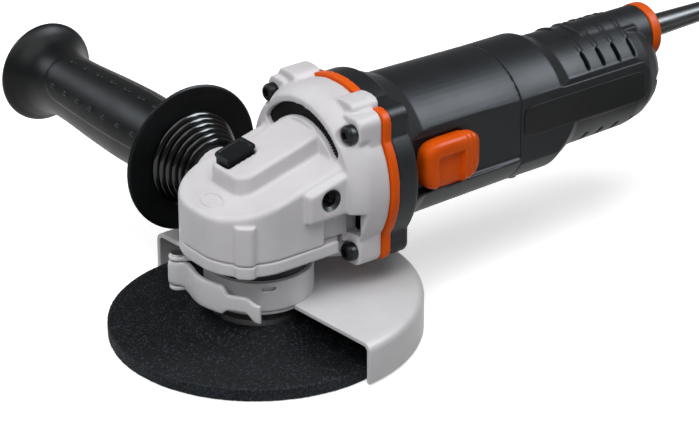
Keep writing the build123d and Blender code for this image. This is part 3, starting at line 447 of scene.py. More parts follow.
@dataclass(frozen=True)
class AbrasiveFinish:
    """Resin-bonded abrasive: dark grains of mixed size in black resin, with a painted highlight that makes
    them lighter at the rim.
    """

    name: str = "bonded_grit"
    grain_mm: float = 0.55
    rim_mm: float = 62.5
    depth_mm: float = 0.35

    def material(self) -> bpy.types.Material:
        """Builds the material: a cell for each grain, with its own tone, and a painted highlight at the rim.
        """
        shader = Shader(self.name)
        here = (shader.place, "Object")
        cell = shader.add("ShaderNodeTexVoronoi", {"Scale": 1 / (self.grain_mm * MM)}, {"Vector": here})
        shade = shader.add("ShaderNodeSeparateColor", {}, {"Color": (cell, "Color")})
        stops = [(0.0, "#020304"), (0.55, "#07090B"), (0.86, "#14181C"), (1.0, "#3A4149")]
        grains = shader.ramp((shade, "Red"), stops)
        flat = shader.add("ShaderNodeVectorMath", {"operation": "MULTIPLY", 1: (1, 1, 0)}, {0: here})
        reach = shader.add("ShaderNodeVectorMath", {"operation": "LENGTH"}, {0: (flat, "Vector")})
        # Painted highlight: the grains turn lighter in a narrow band at the rim, standing in for light on the
        # edge.
        rim = shader.add(
            "ShaderNodeMapRange",
            {"From Min": (self.rim_mm - 1.2) * MM, "From Max": (self.rim_mm - 0.1) * MM, "To Max": 0.45},
            {"Value": (reach, "Value")},
        )
        rim_highlight = shader.ramp((shade, "Green"), [(0.0, "#0E1114"), (0.6, "#22272C"), (1.0, "#4C535A")])
        both = {0: (rim, "Result"), 6: (grains, "Color"), 7: (rim_highlight, "Color")}
        mix = shader.add("ShaderNodeMix", {"data_type": "RGBA"}, both)
        relief = {"Distance": self.depth_mm * MM, "invert": True}
        bump = shader.add("ShaderNodeBump", relief, {"Height": (cell, "Distance")})
        links = {"Base Color": (mix, 2), "Normal": (bump, "Normal")}
        return shader.finish({"Roughness": 0.72, "Specular IOR Level": 0.12}, links)


FINISHES = {
    # Die-cast aluminium with a satin silver lacquer: even, light, soft highlights.
    "cast_metal": Finish("lacquered_casting", "#C2C0C3", "#CCCACD", (0.42, 0.54), 0.0, 1.5, 22.0, 0.45, 0.012,
                         specular=0.2),
    # Glass-filled polyamide moulded in a spark-eroded tool: dark, dull, faintly speckled.
    "charcoal": Finish("moulded_polyamide", "#111416", "#171A1D", (0.40, 0.50), 0.0, 1.53, 30.0, 0.5, 0.03,
                       specular=0.13),
    # Orange ABS from a polished tool: even colour, satin.
    "orange": Finish("orange_abs", "#D24D04", "#DE5909", (0.32, 0.42), 0.0, 1.53, 14.0, 0.6, 0.01,
                     specular=0.07),
    # Black nylon, satin.
    "black_plastic": Finish("black_nylon", "#08090A", "#0E1011", (0.36, 0.46), 0.0, 1.53, 20.0, 0.5, 0.02,
                            specular=0.12),
    # Black polypropylene from a polished tool: deep and shiny.
    "black_gloss": Finish("polished_polypropylene", "#020303", "#050606", (0.12, 0.20), 0.0, 1.49, 20.0, 0.8,
                          0.006, specular=0.35),
    # Soft PVC sheath: black, smooth, faint sheen.
    "cord_rubber": Finish("soft_pvc", "#060708", "#0B0C0E", (0.26, 0.36), 0.0, 1.52, 12.0, 0.9, 0.01,
                          specular=0.4),
    # Ground steel: bright with fine marks round the piece.
    "steel": Finish("ground_steel", "#9A9A9B", "#B2B2B3", (0.24, 0.36), 1.0, 1.5, 9.0, 0.3, 0.006,
                    stretch=(1.0, 1.0, 6.0)),
    # Sheet steel with a pale silver lacquer: satin, faintly cloudy.
    "sheet_steel": Finish("lacquered_sheet", "#C4C4C6", "#CDCDCF", (0.36, 0.46), 0.0, 1.5, 26.0, 0.5, 0.008,
                          specular=0.2),
    # Blackened steel: dull black oxide.
    "black_steel": Finish("black_oxide", "#0D0E0F", "#15171A", (0.34, 0.5), 0.4, 1.5, 6.0, 0.3, 0.01,
                          specular=0.3),
    # Stacked electrical steel: fine lines across the stack.
    "laminated_steel": Finish("lamination_stack", "#5E5F61", "#737476", (0.4, 0.55), 1.0, 1.5, 5.0, 0.6, 0.05,
                              stretch=(1.0, 0.05, 0.05)),
    # Enamelled copper wire, lacquered.
    "copper": Finish("enamelled_copper", "#7A3A18", "#B4622E", (0.25, 0.4), 0.8, 1.5, 3.0, 0.7, 0.08,
                     stretch=(0.1, 1.0, 1.0)),
    # Plated brass: warm, smooth.
    "contact_brass": Finish("plated_brass", "#B8934E", "#CBA963", (0.2, 0.32), 1.0, 1.5, 8.0, 0.5, 0.005),
    "abrasive": AbrasiveFinish(),
    # Dark grey polyamide inside the housing.
    "inner_plastic": Finish("inner_polyamide", "#33363A", "#3E4145", (0.45, 0.6), 0.0, 1.53, 12.0, 0.5, 0.02),
    # Matt synthetic rubber.
    "inner_rubber": Finish("matt_rubber", "#131415", "#1B1C1D", (0.6, 0.75), 0.0, 1.52, 6.0, 0.4, 0.02),
    # Pressed carbon: matt, dark grey.
    "carbon": Finish("pressed_carbon", "#1C1D1F", "#2A2B2D", (0.5, 0.7), 0.1, 1.6, 3.0, 0.25, 0.02),
}
MATERIALS = {slot: finish.material() for slot, finish in FINISHES.items()}


def dress(piece: Piece, slot: str, body: str, *nodes: str) -> Piece:
    """Gives a piece its finish, the body it rides on and the solids it stands for.

    Args:
        piece: the object.
        slot: the record's material slot.
        body: the body's name.
        nodes: the solids that it replaces.

    Returns:
        The same object.
    """
    piece.data.materials.clear()
    piece.data.materials.append(MATERIALS[slot])
    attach(piece, body)
    if nodes:
        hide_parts(*nodes)
    LOG.info("%s rides on %s", piece.name, body)
    return piece


@dataclass
class GearHead:
    """Cast gear case, bearing cover, black collar ring that paints the shade under the cover, case screws,
    lock button and trim ring; sizes in mm.
    """

    screw_y: float = 26.5
    screw_z: float = 26.0
    head_r: float = 3.9
    head_x: float = 23.6
    seat_x: float = 28.0
    shank_end: float = 50.5
    button_x: Pair = (-13.6, 0.2)
    button_y: Pair = (0.2, 11.0)
    button_top: float = 82.4
    button_foot: float = 72.5
    button_points: int = 96
    spine_slope: float = 0.268
    vent_r: Pair = (24.0, 30.9)
    vent_angle: Pair = (31.0, 149.0)
    vent_x: Pair = (24.2, 32.5)
    vent_bars: int = 40
    socket_x: float = 14.0
    socket_y: float = -31.0
    socket_z: float = 65.4
    socket_r: float = 3.4
    socket_pitch: float = 1.25
    thread_y: Pair = (1.6, 14.5)
    thread_wave: float = 0.06
    shoulder_z: float = 71.0
    shoulder_slope: float = 0.26
    mark_at: Pair = (-23.0, -1.0)
    mark_half: Pair = (3.6, 6.0)
    mark_r: float = 0.5
    press: float = 3.7
    # Radii and heights of the black ring that paints the shade between the bearing cover and the band.
    collar_shade_ring_r: Pair = (20.6, 21.1)
    collar_shade_ring_z: Pair = (32.0, 38.4)

    def build(self) -> None:
        """Makes and dresses the head's pieces."""
        dress(rounded_copy("gear_case", "cast_gear_case", 0.65, 4), "cast_metal", "housing", "gear_case")
        cover = rounded_copy("bearing_cover", "cast_bearing_cover", 0.6, 3)
        dress(cover, "cast_metal", "housing", "bearing_cover")
        dress(rounded_copy("trim_ring", "moulded_trim_ring", 0.45, 3), "orange", "housing", "trim_ring")
        dress(self.button(), "black_plastic", "lock", "lock_button")
        # Painted shade: a black screen closes the crescent vent so that it reads dark inside.
        dress(self.vent_shade_screen(), "black_plastic", "housing")
        dress(self.socket_thread(), "black_steel", "housing")
        dress(self.casting_mark(), "cast_metal", "housing")
        dress(self.screws(), "black_steel", "housing", "case_screws")
        # Painted shade: a black ring on the collar stands in for the shadow between the bearing cover and the
        # band.
        dress(self.collar_shade_ring(), "black_steel", "housing")
        self.spring()

    def button(self) -> Piece:
        """Lock button: rings of a rounded rectangle under a sloped top, with a groove below the cap."""
        middle, half = window(self.button_x, self.button_y)
        drop = np.array([1.7, 1.6, 1.25, 1.15, 0.45, 0.12, 0.0, 0.0, 0.3, 0.3])
        inset = np.array([0.45, 0.45, 0.95, 0.95, 0.0, 0.0, 0.1, 0.4, 1.2, 1.45, 3.0])
        plans = np.stack([middle + superellipse(half - gap, 9.0, self.button_points) for gap in inset])
        top = self.button_top + self.spine_slope * plans[1:, :, 0]
        foot = np.full((1, self.button_points), self.button_foot)
        height = np.concatenate([foot, top - drop[:, None]])
        return surface("lock_button_cap", np.dstack([plans, height]), Closing.CAPPED)

    def spring(self) -> None:
        """Copies the return spring under the button."""
        mesh = frame["nodes"]["lock_spring"].data.copy()
        weld(mesh, 1e-6, False)
        coil = bpy.data.objects.new("lock_coil", mesh)
        bpy.context.scene.collection.objects.link(coil)
        dress(coil, "steel", "housing", "lock_spring")
        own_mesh(coil)

    def collar_shade_ring(self) -> Piece:
        """Black ring on the collar, over the band, painting the shade in the gap between cover and band: a
        turned rectangle with eased corners.
        """
        (low, high), (inner, outer) = self.collar_shade_ring_z, self.collar_shade_ring_r
        corners = [(low, inner), (low, outer), (high, outer), (high, inner)]
        profile = softened(corners, 0.1, 3, True)
        return surface("painted_collar_shade", turned(profile, Axis.Z, (0, 0, 0), 160), Closing.LOOP)

    def socket_thread(self) -> Piece:
        """Dark thread in the spare handle socket: a cone at the mouth, then a waved bore."""
        first, last = self.thread_y
        along = np.linspace(self.socket_y + first, self.socket_y + last, 120)
        wave = self.thread_wave * np.cos(2 * np.pi * along / self.socket_pitch)
        bore = np.stack([along, self.socket_r - 2 * self.thread_wave + wave], axis=1)
        mouth = np.array([(self.socket_y + 0.05, 4.6), (self.socket_y + 0.8, 3.9)])
        back = np.array([(self.socket_y + last + 0.1, 0.0)])
        profile = np.concatenate([back, bore[::-1], mouth[::-1]])
        grid = turned(profile, Axis.Y, (self.socket_x, 0, self.socket_z), 64)
        return surface("socket_thread", grid, Closing.TUBE)

    def casting_mark(self) -> Piece:
        """Low oval ridge on the shoulder: a half-round section carried round an ellipse."""
        angle = np.linspace(0, 2 * np.pi, 97)[:-1]
        ring = np.linspace(0, 2 * np.pi, 9)[:-1]
        middle, half = np.array(self.mark_at), np.array(self.mark_half)
        out = 1 + self.mark_r * np.cos(ring)[:, None] / half.mean()
        x = middle[0] + half[0] * out * np.cos(angle)
        y = middle[1] + half[1] * out * np.sin(angle)
        z = self.shoulder_z + self.shoulder_slope * x + self.mark_r * np.sin(ring)[:, None]
        return surface("casting_mark", np.stack([x, y, z], axis=-1), Closing.LOOP)

    # Painted shade: the black of this screen stands in for the shade deep in the vent.
    def vent_shade_screen(self) -> Piece:
        """Dark screen closing the crescent vent, painting the shade inside it: a thin ring sector with fine
        bars across it.
        """
        count = 4 * self.vent_bars + 1
        angle = np.radians(np.linspace(*self.vent_angle, count))
        bars = 0.5 * (1 + np.cos(np.linspace(0, 2 * np.pi * self.vent_bars, count)))
        radius = np.array([self.vent_r[0], self.vent_r[0], self.vent_r[1], self.vent_r[1]])
        face = np.array([self.vent_x[1], self.vent_x[0], self.vent_x[0], self.vent_x[1]])
        grid = np.zeros((4, count, 3))
        grid[..., 0] = face[:, None] + np.array([0.0, 0.5, 0.5, 0.0])[:, None] * bars
        grid[..., 1] = radius[:, None] * np.cos(angle)
        grid[..., 2] = MOTOR_Z + radius[:, None] * np.sin(angle)
        return surface("vent_shade_screen", grid, Closing.ARC)

    def screws(self) -> Piece:
        """Dome-headed screws with a six-lobed socket: the socket's radius waves six times round."""
        x, seat = self.head_x, self.seat_x
        corners = [(x + 2.0, 0), (x + 2.0, 1.5), (x + 0.1, 1.7), (x, 2.2), (x + 0.5, 3.2)]
        corners += [(x + 1.7, self.head_r)]
        corners += [(seat + 0.2, self.head_r), (seat + 0.2, 2.0), (self.shank_end, 2.0), (self.shank_end, 0)]
        profile = softened(corners, 0.35)
        angle = np.linspace(0, 2 * np.pi, 48, endpoint=False)
        socket = (profile[:, 0] > x + 0.05) & (profile[:, 1] < 1.75) & (profile[:, 1] > 0.1)
        socket &= profile[:, 0] < seat
        swell = socket[:, None] * 0.16 * np.cos(6 * angle)
        grid = turned(profile, Axis.X, (0, 0, 0), 48, swell=swell)
        places = np.tile(np.eye(4), (4, 1, 1))
        sides = np.array([(-1, -1), (-1, 1), (1, -1), (1, 1)])
        places[:, 1, 3] = sides[:, 0] * self.screw_y
        places[:, 2, 3] = MOTOR_Z + sides[:, 1] * self.screw_z
        return repeated("case_screw_set", grid, Closing.TUBE, places)


@dataclass
class MotorHousing:
    """Charcoal motor tube with flat side panels, and the slide switch on its right."""

    slider_x: Pair = (62.0, 92.0)
    slider_z: Pair = (53.9, 75.2)
    foot_y: float = -25.0
    face_y: float = -32.0
    well_x: Pair = (54.2, 84.0)
    well_z: Pair = (53.5, 76.6)
    well_mouth: float = -29.0
    well_floor: float = -24.75
    scoop_x: tuple[float, ...] = (6.0, 8.6, 19.4, 20.2)
    scoop_z: Pair = (12.6, 15.6)
    scoop_depth: float = 2.1
    flute_x: Pair = (21.0, 22.0)
    flute_pitch: float = 2.8
    flute_depth: float = 0.45
    face_fall: float = 0.10

    def build(self) -> None:
        """Makes and dresses the housing and the slider."""
        housing = rounded_copy("motor_housing", "moulded_motor_housing", 0.6, 2, (self.well_cutter(),))
        dress(housing, "charcoal", "housing", "motor_housing")
        dress(self.slider(), "orange", "switch", "switch_slider")

    def well_cutter(self) -> Piece:
        """Shallow well in the side panel that the slider runs in: a rounded outline carried inwards."""
        middle, half = window(self.well_x, self.well_z)
        plan = middle + superellipse(half, 14.0, 96)
        depth = np.array([self.well_mouth, self.well_floor])
        grid = np.zeros((2, len(plan), 3))
        grid[..., 0], grid[..., 2] = plan[:, 0], plan[:, 1]
        grid[..., 1] = depth[:, None]
        return surface("well_cutter", grid, Closing.CAPPED)

    def slider(self) -> Piece:
        """Thumb button: rings of a rounded rectangle rise to a face with a scoop and three flutes.

        The scoop is open below, with a lip in front of it and above it; the flutes are cosine grooves behind
        the ridge that ends it.
        """
        middle, half = window(self.slider_x, self.slider_z)
        plan = superellipse(half, 4.0, 240)
        height = self.foot_y - self.face_y
        outline = [(1.0, 0.0), (1.0, 0.45), (0.99, 0.62), (0.955, 0.78), (0.88, 0.9)]
        outline += [(0.78, 0.965), (0.66, 0.99), (0.4, 1.0), (0.0, 1.0)]
        rings = flowing(outline, 9)
        spot = middle + rings[:, 0, None, None] * plan[None]
        lift = height * rings[:, 1][:, None] * np.ones(len(plan))
        along, up = spot[..., 0] - self.slider_x[0], spot[..., 1] - self.slider_z[0]
        inside = smooth_step(rings[:, 1], 0.5, 0.8)[:, None]
        scoop = smooth_step(along, *self.scoop_x[:2]) * (1 - smooth_step(along, *self.scoop_x[2:]))
        scoop *= 1 - smooth_step(up, *self.scoop_z)
        behind = along - self.flute_x[0]
        waves = 0.5 - 0.5 * np.cos(2 * np.pi * behind / self.flute_pitch)
        flutes = smooth_step(along, *self.flute_x) * waves
        dips = self.scoop_depth * scoop + self.flute_depth * flutes + self.face_fall * np.maximum(behind, 0)
        fall = lift - inside * dips
        grid = np.stack([spot[..., 0], self.foot_y - fall, spot[..., 1]], axis=-1)
        return surface("thumb_slider", grid, Closing.CAPPED)


@dataclass
class RearCover:
    """Charcoal grip shell with narrow ridges, vent slots, air notches, bare plates and the outlet ring."""

    axis_z: float = 66.1
    skin_r: float = 25.2
    slot_x: tuple[float, ...] = (159.5, 168.4, 177.3, 186.2)
    slot_angle: Pair = (35.0, 55.0)
    slot_half: float = 0.85
    ridge_pitch: float = 8.9
    ridge_height: float = 0.8
    ridge_half: float = 1.05
    ridge_x: Pair = (153.0, 191.0)
    plate_x: Pair = (118.8, 187.5)
    plate_z: Pair = (61.8, 75.6)
    panel_y: float = 26.0
    plate_proud: float = 0.35
    notch_x: float = 199.3
    notch_z: tuple[float, ...] = (46.8, 54.8, 62.8)
    notch_tall: float = 3.8
    notch_half: float = 26.0
    notch_deep: float = 15.0
    plate_points: int = 120

    def build(self) -> None:
        """Makes and dresses the cover, raises its ridges and adds the bare plates and the outlet ring."""
        cutters = (self.slot_cutter(), self.notch_cutter())
        cover = rounded_copy("rear_cover", "moulded_rear_cover", 0.55, 2, cutters)
        reshape(cover, self.ridges)
        dress(cover, "charcoal", "housing", "rear_cover")
        for side, name in ((-1, "bare_plate_right"), (1, "bare_plate_left")):
            dress(self.plate(name, side), "black_plastic", "housing")
        dress(rounded_copy("outlet_ring", "moulded_outlet_ring", 0.4, 3), "orange", "housing", "outlet_ring")

    def ridges(self, points: np.ndarray) -> np.ndarray:
        """Lifts narrow ridges round the upper flank: a bell curve across each, fading at both its ends."""
        x, y, z = points[:, 0], points[:, 1], points[:, 2] - self.axis_z
        radius = np.hypot(y, z)
        angle = np.degrees(np.arctan2(z, np.abs(y)))
        place = (x - self.slot_x[0]) / self.ridge_pitch
        off = (place - np.round(place)) * self.ridge_pitch
        crest = np.exp(-((off / self.ridge_half) ** 2))
        fade = smooth_step(angle, 48.0, 60.0) * (1 - smooth_step(angle, 76.0, 84.0))
        fade *= smooth_step(x, self.ridge_x[0], self.ridge_x[0] + 2)
        fade *= 1 - smooth_step(x, self.ridge_x[1] - 2, self.ridge_x[1])
        push = self.ridge_height * crest * fade * smooth_step(radius, 23.2, 24.2)
        unit = np.stack([np.zeros_like(y), y / radius, z / radius], axis=1)
        return points + unit * push[:, None]

    def slot_cutter(self) -> Piece:
        """Narrow bars through the wall below each ridge, on both flanks, above and below the side panels."""
        t = np.linspace(0, 1, 9)
        ring = np.radians(np.linspace(0, 360, 12, endpoint=False))
        section = np.stack([self.slot_half * np.cos(ring), 5.0 * np.sin(ring)], axis=1)
        first, last = self.slot_angle
        grids = []
        for side in (-1, 1):
            for rise in (-1, 1):
                angle = np.radians(first + (last - first) * t)
                unit = np.stack([np.zeros_like(t), side * np.cos(angle), rise * np.sin(angle)], axis=1)
                for x in self.slot_x:
                    path = unit * self.skin_r + np.array([x, 0, self.axis_z])
                    grids.append(carried(section, path, unit))
        return gathered("slot_cutter", np.stack(grids), Closing.CAPPED)

    def notch_cutter(self) -> Piece:
        """Bars across the rear end, one for each air notch."""
        low, wide, tall = self.notch_x, self.notch_half, self.notch_tall
        corners = np.array([(-wide, 0), (wide, 0), (wide, tall), (-wide, tall)])
        grid = np.zeros((2, 4, 3))
        grid[..., 0] = np.array([low, low + self.notch_deep])[:, None]
        grid[..., 1:] = corners
        places = np.tile(np.eye(4), (len(self.notch_z), 1, 1))
        places[:, 2, 3] = self.notch_z
        return repeated("notch_cutter", grid, Closing.CAPPED, places)

    def plate(self, name: str, side: int) -> Piece:
        """Thin plate on a side panel, with nothing on it: rings of a rounded outline with an eased edge."""
        middle, half = window(self.plate_x, self.plate_z)
        inset = np.array([0.0, 0.0, 0.12, 0.4, 1.6])
        lift = np.array([-0.5, 0.6, 0.9, 1.0, 1.0]) * self.plate_proud
        plans = np.stack([superellipse(half - gap, 9.0, self.plate_points) for gap in inset])
        grid = np.zeros((len(inset), self.plate_points, 3))
        grid[..., 0] = middle[0] + plans[..., 0]
        grid[..., 1] = side * (self.panel_y + lift[:, None])
        grid[..., 2] = middle[1] + plans[..., 1]
        return surface(name, grid, Closing.CAPPED)


@dataclass
class SideHandle:
    """Side handle: shiny ribbed neck, thin hand flange and the nubbed grip with its flared end."""

    x: float = 3.0
    z: float = 57.2
    boss_y: float = 34.0
    flange_y: float = 50.5
    flange_r: float = 32.2
    end_y: float = 169.5
    ribs: int = 6
    neck_r: Pair = (13.5, 21.3)
    panel_y: Pair = (63.0, 147.0)
    panel_half: float = 52.0
    panel_turns: tuple[float, ...] = (142.0, 322.0)
    panel_rise: float = 0.55
    nub_count: int = 7
    nub_half: Triple = (1.3, 2.6, 1.15)
    nub_sunk: float = 0.35
    nub_lean: float = 27.0

    def build(self) -> None:
        """Makes and dresses the neck, grip and nubs."""
        dress(self.neck(), "black_gloss", "housing", "handle_neck")
        dress(self.grip(), "black_plastic", "housing", "handle_grip")
        dress(self.nubs(), "black_plastic", "housing")

    def neck(self) -> Piece:
        """Bellows neck: a cone whose radius swells with a rounded wave, once for each rib."""
        along = np.linspace(0, 1, 151)
        crest = self.neck_r[0] + (self.neck_r[1] - self.neck_r[0]) * along
        wave = np.abs(np.cos(np.pi * (along * self.ribs - 0.5))) ** 0.55
        y = self.boss_y + (self.flange_y - self.boss_y) * along
        profile = np.stack([y, crest - 2.0 * (1 - wave)], axis=1)
        ends = np.array([[self.boss_y, 4.1]]), np.array([[self.flange_y, 4.1]])
        profile = np.concatenate([ends[0], profile, ends[1]])
        return surface("ribbed_neck", turned(profile, Axis.Y, (self.x, 0, self.z), 96), Closing.LOOP)

    def grip_radius(self) -> np.ndarray:
        """Profile of the grip, from the hand flange to the flared end."""
        y = self.flange_y
        rim = [(y, 4.1), (y, self.flange_r - 1.0), (y + 0.9, self.flange_r), (y + 1.9, self.flange_r - 0.9)]
        flange = softened(rim + [(y + 2.6, 24.0), (y + 5.0, 18.0)], 0.7)
        body = [(y + 5.0, 18.0), (y + 9.0, 15.8), (y + 18.0, 15.8), (y + 40.0, 16.3), (y + 62.0, 15.6)]
        body += [(y + 84.0, 14.4), (y + 97.0, 14.3), (y + 105.0, 15.6), (y + 110.4, 18.6), (y + 113.7, 21.6)]
        end = [(y + 113.7, 21.6), (y + 115.1, 22.4), (y + 116.9, 22.0)]
        end += [(self.end_y - 0.6, 19.5), (self.end_y, 15.0)]
        return np.concatenate([flange[:-1], flowing(body, 10)[:-1], flowing(end, 6), [[self.end_y, 0.0]]])

    def panel(self, y: np.ndarray, angle: np.ndarray) -> np.ndarray:
        """One on the raised panels, zero off them: distance inside a long rounded outline."""
        middle, half = np.mean(self.panel_y), np.ptp(self.panel_y) / 2
        inside = np.zeros(np.broadcast(y, angle).shape)
        for turn in self.panel_turns:
            around = np.abs((angle - turn + 180) % 360 - 180) * 0.25
            along = np.abs(y - middle)
            past = np.maximum(around - self.panel_half * 0.25 + 12, 0)
            corner = np.hypot(np.maximum(along - half + 12, 0), past)
            inside = np.maximum(inside, 1 - smooth_step(corner, 11.0, 12.0))
        return inside

    def grip(self) -> Piece:
        """Turned grip, slightly swollen on its two panels."""
        profile = self.grip_radius()
        degrees = np.linspace(0, 360, 192, endpoint=False)
        swell = self.panel_rise * self.panel(profile[:, 0][:, None], degrees[None])
        grid = turned(profile, Axis.Y, (self.x, 0, self.z), 192, swell=swell)
        return surface("moulded_grip", grid, Closing.TUBE)

    def nubs(self) -> Piece:
        """Rows of small oval domes on the panels: half an ellipsoid for each."""
        profile = self.grip_radius()
        rise = np.linspace(0, 1, 6) * np.pi / 2
        angle = np.linspace(0, 2 * np.pi, 14, endpoint=False)
        grid = np.zeros((6, 14, 3))
        wide, long, tall = self.nub_half
        grid[..., 0] = np.cos(rise)[:, None] * wide * np.cos(angle)
        grid[..., 1] = np.cos(rise)[:, None] * long * np.sin(angle)
        grid[..., 2] = np.sin(rise)[:, None] * tall - self.nub_sunk
        rows = np.add.outer(self.panel_turns, [-self.nub_lean, self.nub_lean]).ravel()
        y = np.linspace(self.panel_y[0] + 10, self.panel_y[1] - 9, self.nub_count)
        radius = np.interp(y, *flowing_sorted(profile)) + self.panel_rise
        turn, y = (g.ravel() for g in np.meshgrid(np.radians(rows), y, indexing="ij"))
        radius = np.tile(radius, len(rows))
        up = np.stack([np.sin(turn), np.zeros_like(turn), np.cos(turn)], axis=1)
        along = np.tile([0.0, 1.0, 0.0], (len(y), 1))
        places = np.zeros((len(y), 4, 4))
        places[:, :3, 0] = np.cross(along, up)
        places[:, :3, 1] = along
        places[:, :3, 2] = up
        places[:, :3, 3] = np.stack([self.x + radius * up[:, 0], y, self.z + radius * up[:, 2]], axis=1)
        return repeated("grip_nubs", grid, Closing.TUBE, places)


def flowing_sorted(profile: np.ndarray) -> tuple[np.ndarray, np.ndarray]:
    """Places and radii of a profile, in order of place, for interpolation."""
    order = np.argsort(profile[:, 0], kind="stable")
    return profile[order, 0], profile[order, 1]


@dataclass
class WheelGuard:
    """Half-round sheet guard with its clamp band, hinge pin and lever."""

    outer_r: float = 67.7
    thick: float = 2.0
    top: float = 19.0
    skirt: float = 1.0
    bend: float = 4.0
    bore_r: float = 22.0
    turn: float = 4.4
    band_r: float = 22.6
    band_middle: float = 28.0
    band_squeeze: float = 0.36
    lever_spots: tuple = (
        (35.6, 141.6), (33.0, 145.4), (29.6, 150.5), (28.5, 157.0), (28.5, 180.0),
        (28.5, 205.0), (28.5, 216.0), (29.0, 224.0), (30.4, 231.0), (32.2, 235.6),
    )
    lever_z: Pair = (19.7, 32.1)
    root_rise: Pair = (1.3, -0.3)
    tail_rise: Pair = (2.4, -3.5)
    tip_rise: Pair = (-3.4, -2.2)
    lever_half: float = 1.45
    lever_points: int = 40

    def build(self) -> None:
        """Makes and dresses the guard's pieces."""
        dress(self.shell(), "sheet_steel", "guard", "guard_shell")
        band = rounded_copy("clamp_band", "rolled_clamp_band", 0.4, 2)
        reshape(band, self.rolled_edge)
        dress(band, "sheet_steel", "guard", "clamp_band")
        dress(self.lever(), "sheet_steel", "lever", "clamp_lever")

    def rolled_edge(self, points: np.ndarray) -> np.ndarray:
        """Draws the band's upper edge down, away from its hinge ears, by squeezing its upper part."""
        moved = points.copy()
        away = 1 - smooth_step(np.hypot(points[:, 0], points[:, 1]), self.band_r + 0.6, self.band_r + 2.2)
        above = np.maximum(points[:, 2] - self.band_middle, 0)
        moved[:, 2] -= self.band_squeeze * above * away
        return moved

    def lever(self) -> Piece:
        """Clamp lever: a rounded section carried from the hinge round the band to a hooked tail.

        At each place the section is a rounded rectangle with its own thickness and its own lower and upper
        edge, eased from one stretch of the lever to the next.
        """
        radius, turn = np.array(self.lever_spots).T
        turn = np.radians(turn)
        path = flowing(np.stack([radius * np.cos(turn), radius * np.sin(turn)], axis=1).tolist(), 12)
        angle = np.degrees(np.arctan2(path[:, 1], path[:, 0])) % 360
        tail, tip = smooth_step(angle, 203.0, 210.0), smooth_step(angle, 224.0, 233.0)
        root = 1 - smooth_step(angle, 149.0, 154.0)
        rises = zip(self.lever_z, self.root_rise, self.tail_rise, self.tip_rise)
        low, high = (z + a * root + b * tail + c * tip for z, a, b, c in rises)
        thick = self.lever_half + 1.7 * (1 - smooth_step(angle, 144.0, 151.0)) - 0.35 * tail
        ends = np.clip(np.minimum(np.arange(len(path)), np.arange(len(path))[::-1]) / 5, 0, 1)
        thick *= np.sqrt(1 - (1 - ends) ** 2) * 0.85 + 0.15
        ring = superellipse(np.array([1.0, 1.0]), 5.0, self.lever_points)
        way = np.gradient(path, axis=0)
        side = np.stack([way[:, 1], -way[:, 0]], axis=1) / np.linalg.norm(way, axis=1)[:, None]
        grid = np.zeros((len(path), self.lever_points, 3))
        grid[..., :2] = path[:, None] + side[:, None] * (thick[:, None] * ring[:, 0])[..., None]
        grid[..., 2] = ((low + high) / 2)[:, None] + ((high - low) / 2)[:, None] * ring[:, 1]
        return surface("pressed_clamp_lever", grid, Closing.CAPPED)

    def shell(self) -> Piece:
        """Sheet profile turned half way round: top plate, quarter-round bend and skirt."""
        quarter = np.radians(np.linspace(90, 0, 9))
        centre = np.array([self.top - self.bend, self.outer_r - self.bend])
        outside = centre + self.bend * np.stack([np.sin(quarter), np.cos(quarter)], axis=1)
        inside = centre + (self.bend - self.thick) * np.stack([np.sin(quarter), np.cos(quarter)], axis=1)
        low = self.top - self.thick
        hub = [(low, self.bore_r), (self.top, self.bore_r)]
        foot = [(self.skirt + 0.4, self.outer_r), (self.skirt, self.outer_r - 0.5)]
        foot += [(self.skirt, self.outer_r - self.thick + 0.5), (self.skirt + 0.4, self.outer_r - self.thick)]
        plate = np.linspace(self.bore_r + 0.4, self.outer_r - self.bend - 1, 10)
        above = np.stack([np.full(10, self.top), plate], axis=1)
        below = np.stack([np.full(10, low), plate[::-1]], axis=1)
        profile = np.concatenate([hub, above, outside, foot, inside[::-1], below])
        span = (self.turn - 90, self.turn + 90)
        piece = surface("sheet_guard", turned(profile, Axis.Z, (0, 0, 0), 145, span), Closing.ARC)
        bevel = piece.modifiers.new("edge", "BEVEL")
        bevel.width, bevel.segments, bevel.limit_method = 0.35 * MM, 2, "ANGLE"
        bevel.angle_limit = math.radians(50)
        return piece


@dataclass
class Disc:
    """Depressed-centre grinding disc with a coarse face."""

    outer_r: float = 62.5
    thick: float = 6.0
    bore_r: float = 11.1
    hub_z: Pair = (5.0, 11.0)
    columns: int = 500
    grit: float = 0.22
    seed: int = 7

    def build(self) -> None:
        """Makes and dresses the disc."""
        dress(self.disc(), "abrasive", "spindle", "grinding_disc")

    def disc(self) -> Piece:
        """Turned disc whose faces are pulled in by a random grain depth at each point."""
        low, high = self.hub_z
        face = np.arange(31.5, self.outer_r - 0.6, 0.8)
        top = np.stack([np.full(len(face), self.thick), face], axis=1)
        under = np.stack([np.zeros(len(face)), face[::-1]], axis=1)
        edge = np.linspace(self.thick - 0.5, 0.5, 7)
        rim = np.stack([edge, np.full(7, self.outer_r)], axis=1)
        hub = [(low, self.bore_r), (high, self.bore_r), (high, 17.0), (high, 23.5), (8.5, 27.5)]
        well = [(2.5, 25.5), (low, 21.0), (low, 16.0)]
        profile = np.concatenate([hub, top, rim, under, well])
        grid = turned(profile, Axis.Z, (0, 0, 0), self.columns)
        rng = np.random.default_rng(self.seed)
        depth = rng.random(grid.shape[:2]) ** 1.5 * self.grit
        first, last = len(hub), len(hub) + len(face)
        grid[first:last, :, 2] -= depth[first:last]
        grid[last + 7 : last + 7 + len(face), :, 2] += depth[last + 7 : last + 7 + len(face)]
        pull = 1 - depth[last : last + 7] / self.outer_r
        grid[last : last + 7, :, :2] *= pull[..., None]
        return surface("grit_disc", grid, Closing.LOOP)


